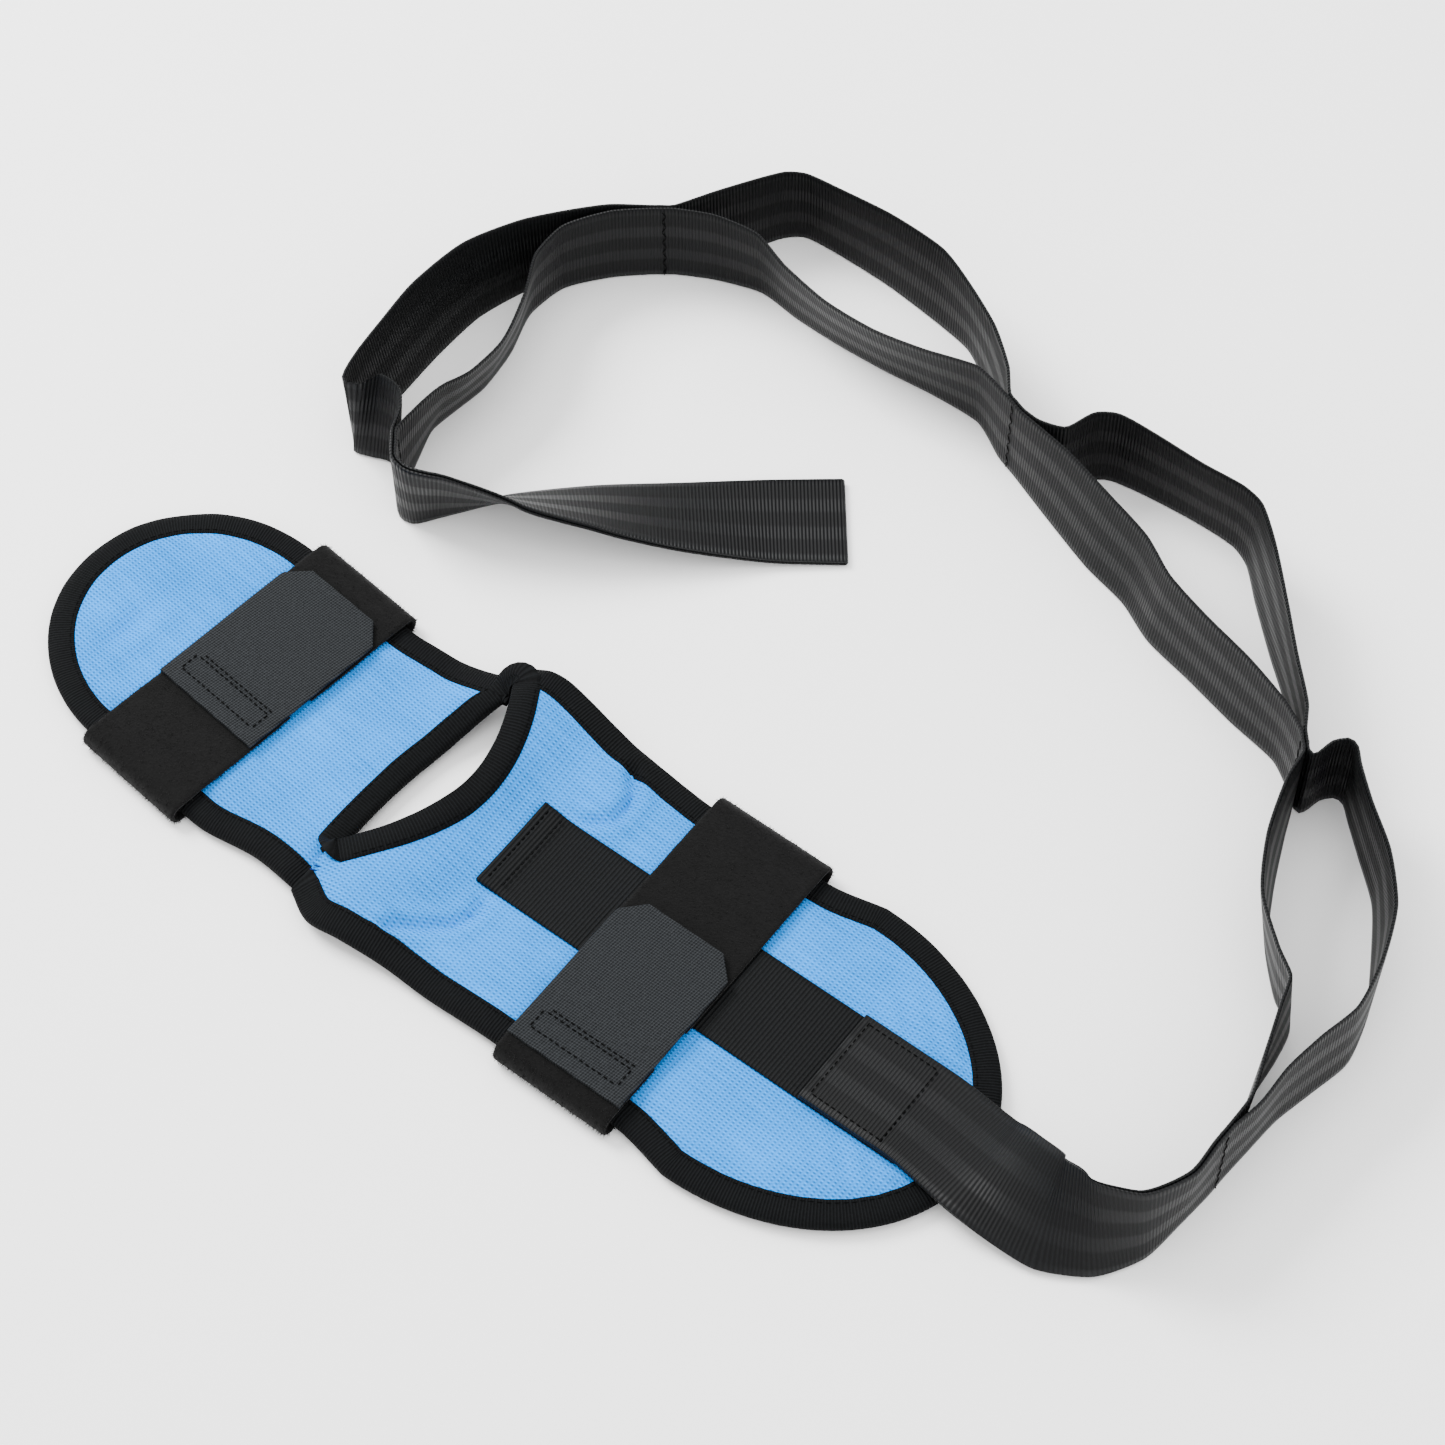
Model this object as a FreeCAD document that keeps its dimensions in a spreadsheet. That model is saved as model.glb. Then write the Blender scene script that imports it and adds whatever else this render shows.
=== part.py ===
"""Foot and ankle stretching strap: a padded two-lobe sling with two hook-and-loop straps
and a long doubled webbing pull strap that cross-stitching divides into hand loops.

Frame: millimetres, +Z up, floor at z = 0. The origin is the middle of the sole strap's
underside, which is the face that the sling rests on.
"""
import FreeCAD, Part
import math
import os

import Sketcher

from FreeCAD import Placement, Rotation, Vector

# ---------------------------------------------------------------- driving sizes
SIZES = {
    "web_width": 40.0,          # pull strap and sole webbing
    "web_thick": 1.4,
    "layer_gap": 0.1,           # between the two layers of the pull strap
    "tape_width": 50.0,         # hook tape and loop tape
    "loop_tape_thick": 1.6,
    "hook_tape_thick": 1.6,
    "face_thick": 0.6,          # woven face of the pads
    "foam_thick": 3.0,
    "lining_thick": 0.6,
    "binding_width": 12.0,
    "binding_thick": 0.7,
    "rim_width": 10.0,          # binding round the heel opening
    "ankle_rim_width": 6.0,
    "gap": 0.3,                 # running clearance between pieces that move apart
    "sole_turn": -37.5,         # direction of the sole pad's long axis, degrees
    "sole_waist": 61.0,         # half width under the sole strap
    "sole_half_width": 65.5,    # half width at the ball of the foot
    "heel_half_width": 66.0,    # half width beside the heel
    "toe_centre": 50.0,
    "toe_length": 84.0,
    "heel_rise": 14.0,          # how far the heel rim stands off the floor
    "opening_depth": 18.0,      # heel opening, measured from the side seams
    "opening_near": -36.0,      # ends of the heel opening, across the sole pad
    "opening_far": 62.0,
    "ankle_turn": -44.0,        # direction of the ankle pad's long axis, degrees
    "ankle_x": -156.0,
    "ankle_y": 121.0,
    "ankle_half_width": 56.0,
    "ankle_waist": 56.0,        # half width under the ankle strap
    "lobe_centre": -25.0,
    "lobe_length": 62.5,
    "seam_distance": 78.0,      # ankle strap's middle to the side seams
    "neck_shift": 8.3,          # how far the neck leans across at the seams
    "tab_length": 70.0,
    "tab_chamfer": 8.0,
    "sewn_length": 20.0,        # part of a hook tab that is sewn down
    "sole_tab_start": -58.0,    # sewn end of the sole hook tab, across the pad
    "ankle_tab_start": -22.5,
    "sole_far_flap_end": -20.0,
    "ankle_far_flap_end": 8.0,
    "web_start": -74.0,         # heel end of the sole webbing
    "web_end": 112.0,
    "web_offset": 4.0,          # sole webbing's middle, across the pad
    "lead_start": 71.0,         # where the pull strap is sewn to the sole webbing
    "tack_gap": 0.6,            # webbing stops this far from a tack's fold line
    "thread": 0.5,              # stitch thickness and width
}

doc = FreeCAD.newDocument("FootStretchStrap")
sheet = doc.addObject("Spreadsheet::Sheet", "Sizes")
for row, (alias, value) in enumerate(SIZES.items(), start=1):
    sheet.set("A%d" % row, alias)
    sheet.set("B%d" % row, repr(value))
    sheet.setAlias("B%d" % row, alias)
doc.recompute()


def size(alias):
    """Current value of a driving size."""
    return float(sheet.get(alias))


# ---------------------------------------------------------------- heights in the stack
PAD_BASE = size("loop_tape_thick") + size("binding_thick")
PAD_THICK = size("lining_thick") + size("foam_thick") + size("face_thick")
PAD_TOP = PAD_BASE + PAD_THICK
WEB_TOP = PAD_TOP + size("web_thick")
SOLE_FLAP = WEB_TOP + size("gap")
ANKLE_FLAP = PAD_TOP + size("binding_thick") + size("gap")
LAYER = (size("web_thick") + size("layer_gap")) / 2

SOLE_FRAME = Placement(Vector(0, 0, 0), Rotation(Vector(0, 0, 1), size("sole_turn")))
ANKLE_FRAME = Placement(Vector(size("ankle_x"), size("ankle_y"), 0),
                        Rotation(Vector(0, 0, 1), size("ankle_turn")))

SUB_PARTS = []


def keep(obj, label, frame=None):
    """Name a finished sub-part and put it in its frame."""
    obj.Label = label
    if frame is not None:
        obj.Placement = frame
    SUB_PARTS.append(obj)
    return obj


def feature(label, shape, frame=None):
    """A sub-part whose freeform shape is computed from the sheet."""
    obj = doc.addObject("Part::Feature", label)
    obj.Shape = shape
    return keep(obj, label, frame)


# ---------------------------------------------------------------- pads
def seam_in_sole(across):
    """Sole-frame position of the side seam line at a distance across the pad."""
    seam = ANKLE_FRAME.multVec(Vector(size("seam_distance"), 0, 0))
    start = SOLE_FRAME.inverse().multVec(seam)
    lean = math.radians(size("sole_turn") - size("ankle_turn"))
    return start.x + (across - start.y) * math.tan(lean)


def sole_sections(grow):
    """Rows of (along, lean, near edge, far edge, five rises from near to far) down the sole
    pad, with its outline moved outward by grow."""
    rise = size("heel_rise")
    waist = size("sole_waist") + grow
    ball = size("sole_half_width") + grow
    toe = size("toe_length") + grow
    heel = size("heel_half_width") + grow
    lean = math.tan(math.radians(size("sole_turn") - size("ankle_turn")))
    seam = seam_in_sole(0)
    rows = [
        (seam + size("gap"), lean, -heel + 8, heel - 1, (0, 0.5, 1.0, 0.9, 0.15)),
        (seam + 14, lean * 0.7, -heel, heel + 1, (0.35, 0.6, 0.9, 0.95, 0.7)),
        (seam + 28, lean * 0.3, -heel + 1, heel, (0.25, 0.35, 0.45, 0.6, 0.5)),
        (seam + 37, 0, -heel + 3, heel - 1, (0.1, 0.02, 0, 0.15, 0.4)),
        (seam + 46, 0, -heel + 4, heel - 2, (0, 0, 0, 0, 0.2)),
        (seam + 65, 0, -heel + 4, heel - 3, (0, 0, 0, 0, 0)),
        (-27, 0, -waist, waist, (0, 0, 0, 0, 0)),
        (27, 0, -waist, waist, (0, 0, 0, 0, 0)),
    ]
    for turn in (0, 12, 24, 35, 45, 54, 62, 69, 75, 80, 84):
        along = size("toe_centre") + toe * math.sin(math.radians(turn))
        half = ball * math.cos(math.radians(turn))
        rows.append((along, 0, -half, half, (0, 0, 0, 0, 0)))
    return [(along, lean, near, far, [rise * r for r in rises])
            for along, lean, near, far, rises in rows]


def ankle_sections(grow):
    """The same for the ankle pad, from the top of its lobe to the side seams."""
    half = size("ankle_half_width") + grow
    waist = size("ankle_waist") + grow
    lobe = size("lobe_length") + grow
    seam = size("seam_distance")
    shift = size("neck_shift")
    flat = [0, 0, 0, 0, 0]
    rows = []
    for turn in (84, 80, 75, 69, 62, 54, 45, 35, 24, 12):
        along = size("lobe_centre") - lobe * math.sin(math.radians(turn))
        edge = half * math.cos(math.radians(turn))
        rows.append((along, 0, -edge, edge, flat))
    rows.append((size("lobe_centre"), 0, -half, half, flat))
    rows.append((27, 0, -waist, waist, flat))
    rows.append((seam - 42, 0, -waist + 0.1 * shift, waist + 0.2 * shift, flat))
    rows.append((seam - 20, 0, -half + 0.75 * shift, half + 0.6 * shift, flat))
    rows.append((seam - size("gap"), 0, -half + 0.8 * shift, half + 1.15 * shift, flat))
    return rows


def section_wire(row, low, high):
    """Closed section of a pad: two curved long sides and two short ends."""
    along, lean, near, far, rises = row
    places = [near + (far - near) * k / 4 for k in range(5)]
    bottom = [Vector(along + lean * t, t, PAD_BASE + low + r) for t, r in zip(places, rises)]
    top = [Vector(along + lean * t, t, PAD_BASE + high + r) for t, r in zip(places, rises)]
    edges = []
    lower = Part.BSplineCurve()
    lower.interpolate(bottom)
    edges.append(lower.toShape())
    edges.append(Part.makeLine(bottom[-1], top[-1]))
    upper = Part.BSplineCurve()
    upper.interpolate(top[::-1])
    edges.append(upper.toShape())
    edges.append(Part.makeLine(top[0], bottom[0]))
    return Part.Wire(edges)


def pad_loft(rows, low, high):
    """Solid between two heights above the pad's underside."""
    return Part.makeLoft([section_wire(row, low, high) for row in rows], True, True)


def opening_prism(near, far, deep):
    """Tall prism over a heel opening edge: near and far ends and the deepest point."""
    tall = Vector(0, 0, 100)
    down = Vector(0, 0, -20)
    arc = Part.Arc(near + down, deep + down, far + down).toShape()
    back = Part.makeLine(far + down, near + down)
    return Part.Face(Part.Wire([arc, back])).extrude(tall)


def sole_opening(extra):
    """The part of the heel opening that is cut from the sole pad, extra larger."""
    near, far = size("opening_near") - extra, size("opening_far") + extra
    middle = (near + far) / 2
    deep = seam_in_sole(middle) + size("opening_depth") + extra
    start = Vector(seam_in_sole(near) - 2, near, 0)
    end = Vector(seam_in_sole(far) - 2, far, 0)
    return opening_prism(start, end, Vector(deep, middle, 0))


def ankle_opening(extra):
    """The shallow part of the heel opening that is cut from the ankle pad."""
    seam = size("seam_distance")
    shift = size("neck_shift")
    near, far = size("opening_near") + shift - extra, size("opening_far") + shift / 2 + extra
    deep = seam - 3 - extra
    return opening_prism(Vector(seam + 2, near, 0), Vector(seam + 2, far, 0),
                         Vector(deep, (near + far) / 2, 0))


def padded_lobe(name, sections, opening, rim_width, frame):
    """Face, foam, lining, edge binding and opening rim of one padded lobe."""
    lining = size("lining_thick")
    foam_top = lining + size("foam_thick")
    wrap = size("binding_thick")
    hole = opening(0)
    layers = (("lining", 0, lining), ("foam", lining, foam_top), ("face", foam_top, PAD_THICK))
    for layer, low, high in layers:
        feature("%s_pad_%s" % (name, layer), pad_loft(sections(0), low, high).cut(hole), frame)
    whole = pad_loft(sections(0), 0, PAD_THICK)
    sleeve = pad_loft(sections(wrap), -wrap, PAD_THICK + wrap)
    bare = pad_loft(sections(-size("binding_width")), -20, 60)
    rim_zone = opening(rim_width)
    feature("%s_pad_binding" % name, sleeve.cut(whole).cut(bare).cut(rim_zone), frame)
    rim = sleeve.common(rim_zone).cut(whole.cut(hole)).cut(opening(-wrap))
    feature("%s_opening_rim" % name, rim, frame)


padded_lobe("sole", sole_sections, sole_opening, size("rim_width"), SOLE_FRAME)
padded_lobe("ankle", ankle_sections, ankle_opening, size("ankle_rim_width"), ANKLE_FRAME)


# ---------------------------------------------------------------- flat tapes and webbing
def box(name, **sizes):
    """Part::Box whose sizes and corner are expressions on the sheet."""
    obj = doc.addObject("Part::Box", name)
    for prop, expression in sizes.items():
        target = {"x": "Placement.Base.x", "y": "Placement.Base.y", "z": "Placement.Base.z"}
        obj.setExpression(target.get(prop, prop), expression)
    return obj


def joined(name, label, frame, pieces, kind="Part::MultiFuse"):
    """Fuse or group pieces into one sub-part and place it."""
    obj = doc.addObject(kind, name)
    if kind == "Part::MultiFuse":
        obj.Shapes = pieces
    else:
        obj.Links = pieces
    return keep(obj, label, frame)


PAD_BASE_X = "(Sizes.loop_tape_thick + Sizes.binding_thick)"
PAD_TOP_X = "(%s + Sizes.lining_thick + Sizes.foam_thick + Sizes.face_thick)" % PAD_BASE_X
FLAP_X = {
    "sole": "(%s + Sizes.web_thick + Sizes.gap)" % PAD_TOP_X,
    "ankle": "(%s + Sizes.binding_thick + Sizes.gap)" % PAD_TOP_X,
}


def turn_centre(name):
    """Expression for how far across the pad a strap turns round its edge."""
    return "(Sizes.%s_waist + Sizes.binding_thick + Sizes.gap)" % name


def edge_turn(name, side):
    """Half tube in which a strap passes round one edge of the pad."""
    inner = "(%s - Sizes.loop_tape_thick) / 2" % FLAP_X[name]
    outward = 1 if side == "far" else -1
    start = Vector(0, 0, -outward)
    roll = Rotation(start, Vector(0, outward, 0), Vector(1, 0, 0), "ZXY")
    tubes = []
    for part, radius in (("outer", "%s + Sizes.loop_tape_thick" % inner), ("inner", inner)):
        tube = doc.addObject("Part::Cylinder", "%s_turn_%s_%s" % (name, part, side))
        tube.setExpression("Radius", radius)
        tube.setExpression("Height", "Sizes.tape_width")
        tube.Angle = 180
        tube.Placement = Placement(Vector(0, 0, 0), roll)
        tube.setExpression("Placement.Base.x", "-Sizes.tape_width / 2")
        tube.setExpression("Placement.Base.y", "%d * %s" % (outward, turn_centre(name)))
        tube.setExpression("Placement.Base.z", "Sizes.loop_tape_thick + %s" % inner)
        tubes.append(tube)
    cut = doc.addObject("Part::Cut", "%s_turn_%s" % (name, side))
    cut.Base, cut.Tool = tubes
    return cut


def plate(label, frame, corner, length, width, height, chamfer=None):
    """PartDesign plate from a bound rectangle; corner gives its x, y and z expressions."""
    body = doc.addObject("PartDesign::Body", label)
    sketch = body.newObject("Sketcher::SketchObject", "%s_outline" % label)
    plane = [o for o in body.Origin.OriginFeatures if o.Role == "XY_Plane"][0]
    sketch.AttachmentSupport = [(plane, "")]
    sketch.MapMode = "FlatFace"
    ends = [Vector(0, 0, 0), Vector(9, 0, 0), Vector(9, 9, 0), Vector(0, 9, 0)]
    for k in range(4):
        sketch.addGeometry(Part.LineSegment(ends[k], ends[(k + 1) % 4]))
    for k in range(4):
        sketch.addConstraint(Sketcher.Constraint("Coincident", k, 2, (k + 1) % 4, 1))
    for k, lie in enumerate(("Horizontal", "Vertical", "Horizontal", "Vertical")):
        sketch.addConstraint(Sketcher.Constraint(lie, k))
    bound = (("DistanceX", (0, 1, 0, 2), 9, length), ("DistanceY", (1, 1, 1, 2), 9, width),
             ("DistanceX", (-1, 1, 0, 1), 0, corner[0]), ("DistanceY", (-1, 1, 0, 1), 0, corner[1]))
    for kind, where, value, expression in bound:
        index = sketch.addConstraint(Sketcher.Constraint(kind, *where, value))
        sketch.setExpression("Constraints[%d]" % index, expression)
    sketch.setExpression("AttachmentOffset.Base.z", corner[2])
    pad = body.newObject("PartDesign::Pad", "%s_pad" % label)
    pad.Profile = sketch
    pad.setExpression("Length", height)
    if chamfer:
        doc.recompute()
        free_end = max(v.Y for v in pad.Shape.Vertexes)
        edges = ["Edge%d" % (n + 1) for n, e in enumerate(pad.Shape.Edges)
                 if abs(e.BoundBox.ZLength - pad.Length.Value) < 1e-6
                 and abs(e.BoundBox.YMax - free_end) < 1e-6 and e.BoundBox.XLength < 1e-6]
        cut = body.newObject("PartDesign::Chamfer", "%s_corners" % label)
        cut.Base = (pad, edges)
        cut.setExpression("Size", chamfer)
    return keep(body, label, frame)


def stitched_box(label, frame, corner, length, width):
    """Box of sewing: four thread bars round a rectangle."""
    bars = []
    across = "(%s - Sizes.thread)" % width
    along = "(%s - Sizes.thread)" % length
    rows = ((corner[0], corner[1], length, "Sizes.thread"),
            (corner[0], "%s + %s" % (corner[1], across), length, "Sizes.thread"),
            (corner[0], corner[1], "Sizes.thread", width),
            ("%s + %s" % (corner[0], along), corner[1], "Sizes.thread", width))
    for k, (x, y, bar_length, bar_width) in enumerate(rows):
        bars.append(box("%s_bar_%d" % (label, k + 1), x=x, y=y, z=corner[2], Length=bar_length,
                        Width=bar_width, Height="Sizes.thread"))
    return joined("%s_bars" % label, label, frame, bars)


def wrap_strap(name, frame):
    """Loop-tape strap sewn under the pad, its two flaps, and the hook tab on the near one."""
    across = turn_centre(name)
    left = "-Sizes.tape_width / 2"
    back = box("%s_back_flat" % name, Length="Sizes.tape_width", Width="2 * %s" % across,
               Height="Sizes.loop_tape_thick", x=left, y="-%s" % across)
    pieces = [back, edge_turn(name, "near"), edge_turn(name, "far")]
    joined("%s_back" % name, "%s_strap_back" % name, frame, pieces)
    start = "Sizes.%s_tab_start" % name
    sewn_end = "(%s + Sizes.sewn_length)" % start
    plate("%s_strap_near_flap" % name, frame, (left, "-%s + Sizes.gap" % across, FLAP_X[name]),
          "Sizes.tape_width", "%s + %s - Sizes.gap" % (sewn_end, across), "Sizes.loop_tape_thick")
    far_end = "Sizes.%s_far_flap_end" % name
    plate("%s_strap_far_flap" % name, frame, (left, far_end, FLAP_X[name]),
          "Sizes.tape_width", "%s - %s - Sizes.gap" % (across, far_end), "Sizes.loop_tape_thick")
    flap_top = "(%s + Sizes.loop_tape_thick)" % FLAP_X[name]
    plate("%s_hook_tab_sewn_end" % name, frame, (left, start, flap_top), "Sizes.tape_width",
          "Sizes.sewn_length", "Sizes.hook_tape_thick + Sizes.gap")
    plate("%s_hook_tab" % name, frame,
          (left, "%s + Sizes.gap" % sewn_end, "%s + Sizes.gap" % flap_top), "Sizes.tape_width",
          "Sizes.tab_length - Sizes.sewn_length - Sizes.gap", "Sizes.hook_tape_thick",
          "Sizes.tab_chamfer")
    tab_top = "(%s + Sizes.gap + Sizes.hook_tape_thick)" % flap_top
    stitched_box("%s_hook_stitching" % name, frame, ("%s + 4" % left, "%s + 4" % start, tab_top),
                 "Sizes.tape_width - 8", "Sizes.sewn_length - 7")


wrap_strap("sole", SOLE_FRAME)
wrap_strap("ankle", ANKLE_FRAME)

WEB_NEAR = "Sizes.web_offset - Sizes.web_width / 2"
plate("sole_webbing", SOLE_FRAME, ("Sizes.web_start", WEB_NEAR, PAD_TOP_X),
      "Sizes.web_end - Sizes.web_start", "Sizes.web_width", "Sizes.web_thick")


def seam_bars():
    """Bars of sewing across the two side seams, following the sole pad's surface."""
    low = PAD_THICK + size("binding_thick")
    skin = pad_loft(sole_sections(size("binding_thick")), low, low + size("thread"))
    near, far = size("opening_near"), size("opening_far")
    bars = []
    for across in (near - 18, near - 15, near - 12, near - 9, near - 6, far + 0.8):
        corner = Vector(seam_in_sole(across) + 1, across, -10)
        bars.append(skin.common(Part.makeBox(4, size("thread"), 60, corner)))
    return Part.makeCompound(bars)


feature("side_seam_stitching", seam_bars(), SOLE_FRAME)

# ---------------------------------------------------------------- pull strap
# Tacks: where cross stitching joins the two layers. (x, y, heading in degrees)
TACKS = {
    1: (189.0, -85.5, 50),
    2: (229.5, 72.0, 92),
    3: (132.0, 225.5, 122),
    4: (-3.5, 323.5, 180),
    5: (-104.5, 208.5, 270),
}


def lead_point(along, across):
    """Point on the sewn stretch of the pull strap, from the sole webbing's own frame."""
    edge = size("web_offset") - size("web_width") / 2
    point = SOLE_FRAME.multVec(Vector(size("lead_start") + along, edge + across, 0))
    return (point.x, point.y)


# Webbing legs. Each station is (x, y, lean, rest): the place of the lower selvage, how many
# degrees the webbing leans to the left of its run (0 stands on edge, 90 lies flat), and the
# height of what it rests on. side is 1 for the left layer and -1 for the right one.
LEAD = [
    (*lead_point(0, 0), 90, WEB_TOP),
    (*lead_point(22, 0), 90, WEB_TOP),
    (*lead_point(40, 0), 90, WEB_TOP),
    (97, -99.5, 82, WEB_TOP),
    (110, -108.5, 66, 3.5),
    (126, -117.5, 53, 0.5),
    (146, -119.5, 30, 0),
    (163, -112.5, 9, 0),
    (176, -99.5, -2, 0),
]
LEGS = {
    "lead_upper_layer": (None, 1, -1, LEAD),
    "lead_lower_layer": (None, 1, 1, LEAD),
    "loop_1_inner_leg": (1, 2, 1, [
        (198, -70.5, -3), (205.5, -52, -2), (215, -37.5, 4), (221, -25, 6), (217.5, -12, 6),
        (216, 9, 9), (220, 32, 9), (226, 55, 5)]),
    "loop_1_outer_leg": (1, 2, -1, [
        (200.5, -72.5, -2), (212, -60, 0), (225.5, -49, 2), (239, -37.5, 2), (248, -18, 0),
        (252, 4, -4), (254.5, 26, 0), (251.5, 46, 2), (249, 62, 2), (248, 69, 1),
        (245.5, 71.5, 0), (240, 70.5, 0), (235, 66.5, 0), (232, 64.8, 0)]),
    "loop_2_inner_leg": (2, 3, 1, [
        (225, 89, 1), (210.5, 106, -4), (196, 125, -4), (182, 142.5, -7), (173.5, 160, -9),
        (160.5, 177, -11), (147, 199.5, -8)]),
    "loop_2_outer_leg": (2, 3, -1, [
        (233, 88, 3), (231, 110, 3), (226.5, 135, -1), (223, 159, -3), (221, 177, -1),
        (216.5, 186, 2), (203, 197.5, 4), (184, 210.5, 1), (171, 217.5, -2), (163, 217.5, -3),
        (151, 212.5, 0), (140.5, 216, 0)]),
    "loop_3_inner_leg": (3, 4, 1, [
        (122, 247, 7), (104.5, 261, 15), (86, 273, 18), (68, 286, 17), (51, 300, 12),
        (37, 313.5, 6), (18, 320.5, 1)]),
    "loop_3_outer_leg": (3, 4, -1, [
        (128, 243, -2), (125, 263, 0), (118, 283, 2), (104, 299, -5), (86, 317, -3),
        (66, 333.5, 1), (54, 341.5, 2), (45, 341, 0), (21, 330, -3)]),
    "loop_4_inner_leg": (4, 5, 1, [
        (-24.5, 322, 0), (-44.5, 316, 3), (-58, 302, 7), (-65.5, 281.5, 12), (-75.5, 263, 20),
        (-87, 252.5, 25), (-95.5, 243, 24), (-99.5, 230, 12)]),
    "loop_4_outer_leg": (4, 5, -1, [
        (-24.5, 324, 0), (-40, 320.5, -1), (-58, 313.5, -4), (-77, 299.5, -10), (-93, 279.5, -15),
        (-107.5, 261, -14), (-119, 241, -12), (-126, 229, -8), (-123, 225.5, 0),
        (-113, 224.5, 4), (-107, 219, 2)]),
    "end_loop_upper_layer": (5, None, 1, []),
    "end_loop_lower_layer": (5, None, -1, []),
}
END_LOOP = [
    (-103, 200, -2), (-98.5, 198, -6), (-89, 201, -16), (-62.5, 209, -42), (-29, 213.5, -61),
    (5, 215, -76), (37, 216.5, -87), (66.5, 217, -90)]


def heading_of(number):
    """Direction in which the strap runs through a tack."""
    turn = math.radians(TACKS[number][2])
    return Vector(math.cos(turn), math.sin(turn), 0)


def tack_point(number, along):
    """Station on a tack's fold line, moved along the strap's heading."""
    ahead = heading_of(number) * along
    return (TACKS[number][0] + ahead.x, TACKS[number][1] + ahead.y, 0)


def section(station, tangent, side, doubled):
    """Corners of the webbing's section at one station."""
    x, y, lean = station[:3]
    rest = station[3] if len(station) > 3 else 0
    phi = math.radians(lean)
    left = Vector(-tangent.y, tangent.x, 0).normalize()
    up = Vector(0, 0, 1)
    ruling = left * math.sin(phi) + up * math.cos(phi)
    normal = left * math.cos(phi) - up * math.sin(phi)
    half = size("web_thick") / 2
    lift = half * abs(math.sin(phi))
    lift += LAYER * abs(math.sin(phi)) if doubled else side * LAYER * math.sin(phi)
    low = Vector(x, y, rest + lift) + normal * (side * LAYER)
    high = low + ruling * size("web_width")
    return [low - normal * half, low + normal * half, high + normal * half, high - normal * half]


def solid_through(sections):
    """Solid whose sides join the same corners of one section to the next."""
    faces = [Part.Face(Part.makePolygon(end + end[:1])) for end in (sections[0], sections[-1])]
    for before, after in zip(sections, sections[1:]):
        for k in range(4):
            first = Part.makeLine(before[k], before[k - 1])
            second = Part.makeLine(after[k], after[k - 1])
            faces.append(Part.makeRuledSurface(first, second))
    shell = Part.makeShell(faces)
    shell.sewShape()
    solid = Part.makeSolid(shell)
    if solid.Volume < 0:
        solid.reverse()
    return solid


def webbing(start, end, side, stations, doubled=False):
    """One length of webbing lofted through its stations, from tack to tack."""
    inset = size("tack_gap")
    run = list(stations)
    if start:
        run = [tack_point(start, inset), tack_point(start, inset + 4)] + run
    if end:
        run += [tack_point(end, -inset - 4), tack_point(end, -inset)]
    points = [Vector(s[0], s[1], 0) for s in run]
    line = Part.BSplineCurve()
    line.interpolate(points)
    tangents = [line.tangent(line.parameter(point))[0] for point in points]
    if start:
        tangents[:2] = [heading_of(start)] * 2
    if end:
        tangents[-2:] = [heading_of(end)] * 2
    return solid_through([section(station, tangent, side, doubled)
                          for station, tangent in zip(run, tangents)])


for leg, (start, end, side, stations) in LEGS.items():
    ends = leg.startswith("end_loop")
    feature(leg, webbing(start, end, side, END_LOOP if ends else stations,
                         ends or leg.startswith("lead")))


def end_fold():
    """The turn of the webbing at the far end of the pull strap."""
    x, y, lean = END_LOOP[-1]
    outer = LAYER + size("web_thick") / 2
    turn = Part.makeCylinder(outer, size("web_width"), Vector(x, y, outer), Vector(0, -1, 0), 360)
    keep_side = Part.makeBox(outer, size("web_width"), 2 * outer, Vector(x, y - size("web_width"), 0))
    return turn.common(keep_side)


feature("end_loop_fold", end_fold())


def tack_stitching(number):
    """Bars of thread on both faces of the strap, just before a tack's fold line."""
    x, y, heading = TACKS[number]
    width = 2.0
    thread = size("thread")
    outer = LAYER + size("web_thick") / 2
    bars = []
    for side in (-1, 1):
        low = outer if side > 0 else -outer - thread
        bar = Part.makeBox(width, thread, size("web_width") - 4,
                           Vector(-width - size("tack_gap"), low, 2))
        bars.append(bar)
    group = Part.makeCompound(bars)
    return group, Placement(Vector(x, y, 0), Rotation(Vector(0, 0, 1), heading))


for number in TACKS:
    shape, frame = tack_stitching(number)
    feature("tack_%d_stitching" % number, shape, frame)

stitched_box("lead_stitching", SOLE_FRAME,
             ("Sizes.lead_start + 3", "%s + 3" % WEB_NEAR,
              "%s + 3 * Sizes.web_thick + Sizes.layer_gap" % PAD_TOP_X),
             "Sizes.web_width - 6", "Sizes.web_width - 6")
stitched_box("sole_webbing_stitching", SOLE_FRAME,
             ("Sizes.web_start + 2", "%s + 2" % WEB_NEAR, "%s + Sizes.web_thick" % PAD_TOP_X),
             "6", "Sizes.web_width - 4")

# ---------------------------------------------------------------- checks and export
doc.recompute()
failed = [obj.Name for obj in doc.Objects if {"Invalid", "Error"} & set(obj.State)]
for obj in SUB_PARTS:
    if obj.Shape.isNull() or not obj.Shape.isValid() or not obj.Shape.Solids:
        failed.append(obj.Label)
if failed:
    raise RuntimeError("failed objects: " + ", ".join(failed))

os.makedirs("parts", exist_ok=True)
for obj in SUB_PARTS:
    obj.Shape.exportStep(os.path.join("parts", obj.Label + ".step"))
    print("%-26s %8.0f mm3  %d solids" % (obj.Label, obj.Shape.Volume, len(obj.Shape.Solids)))
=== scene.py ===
"""Foot and ankle stretching strap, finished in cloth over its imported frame."""

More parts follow.
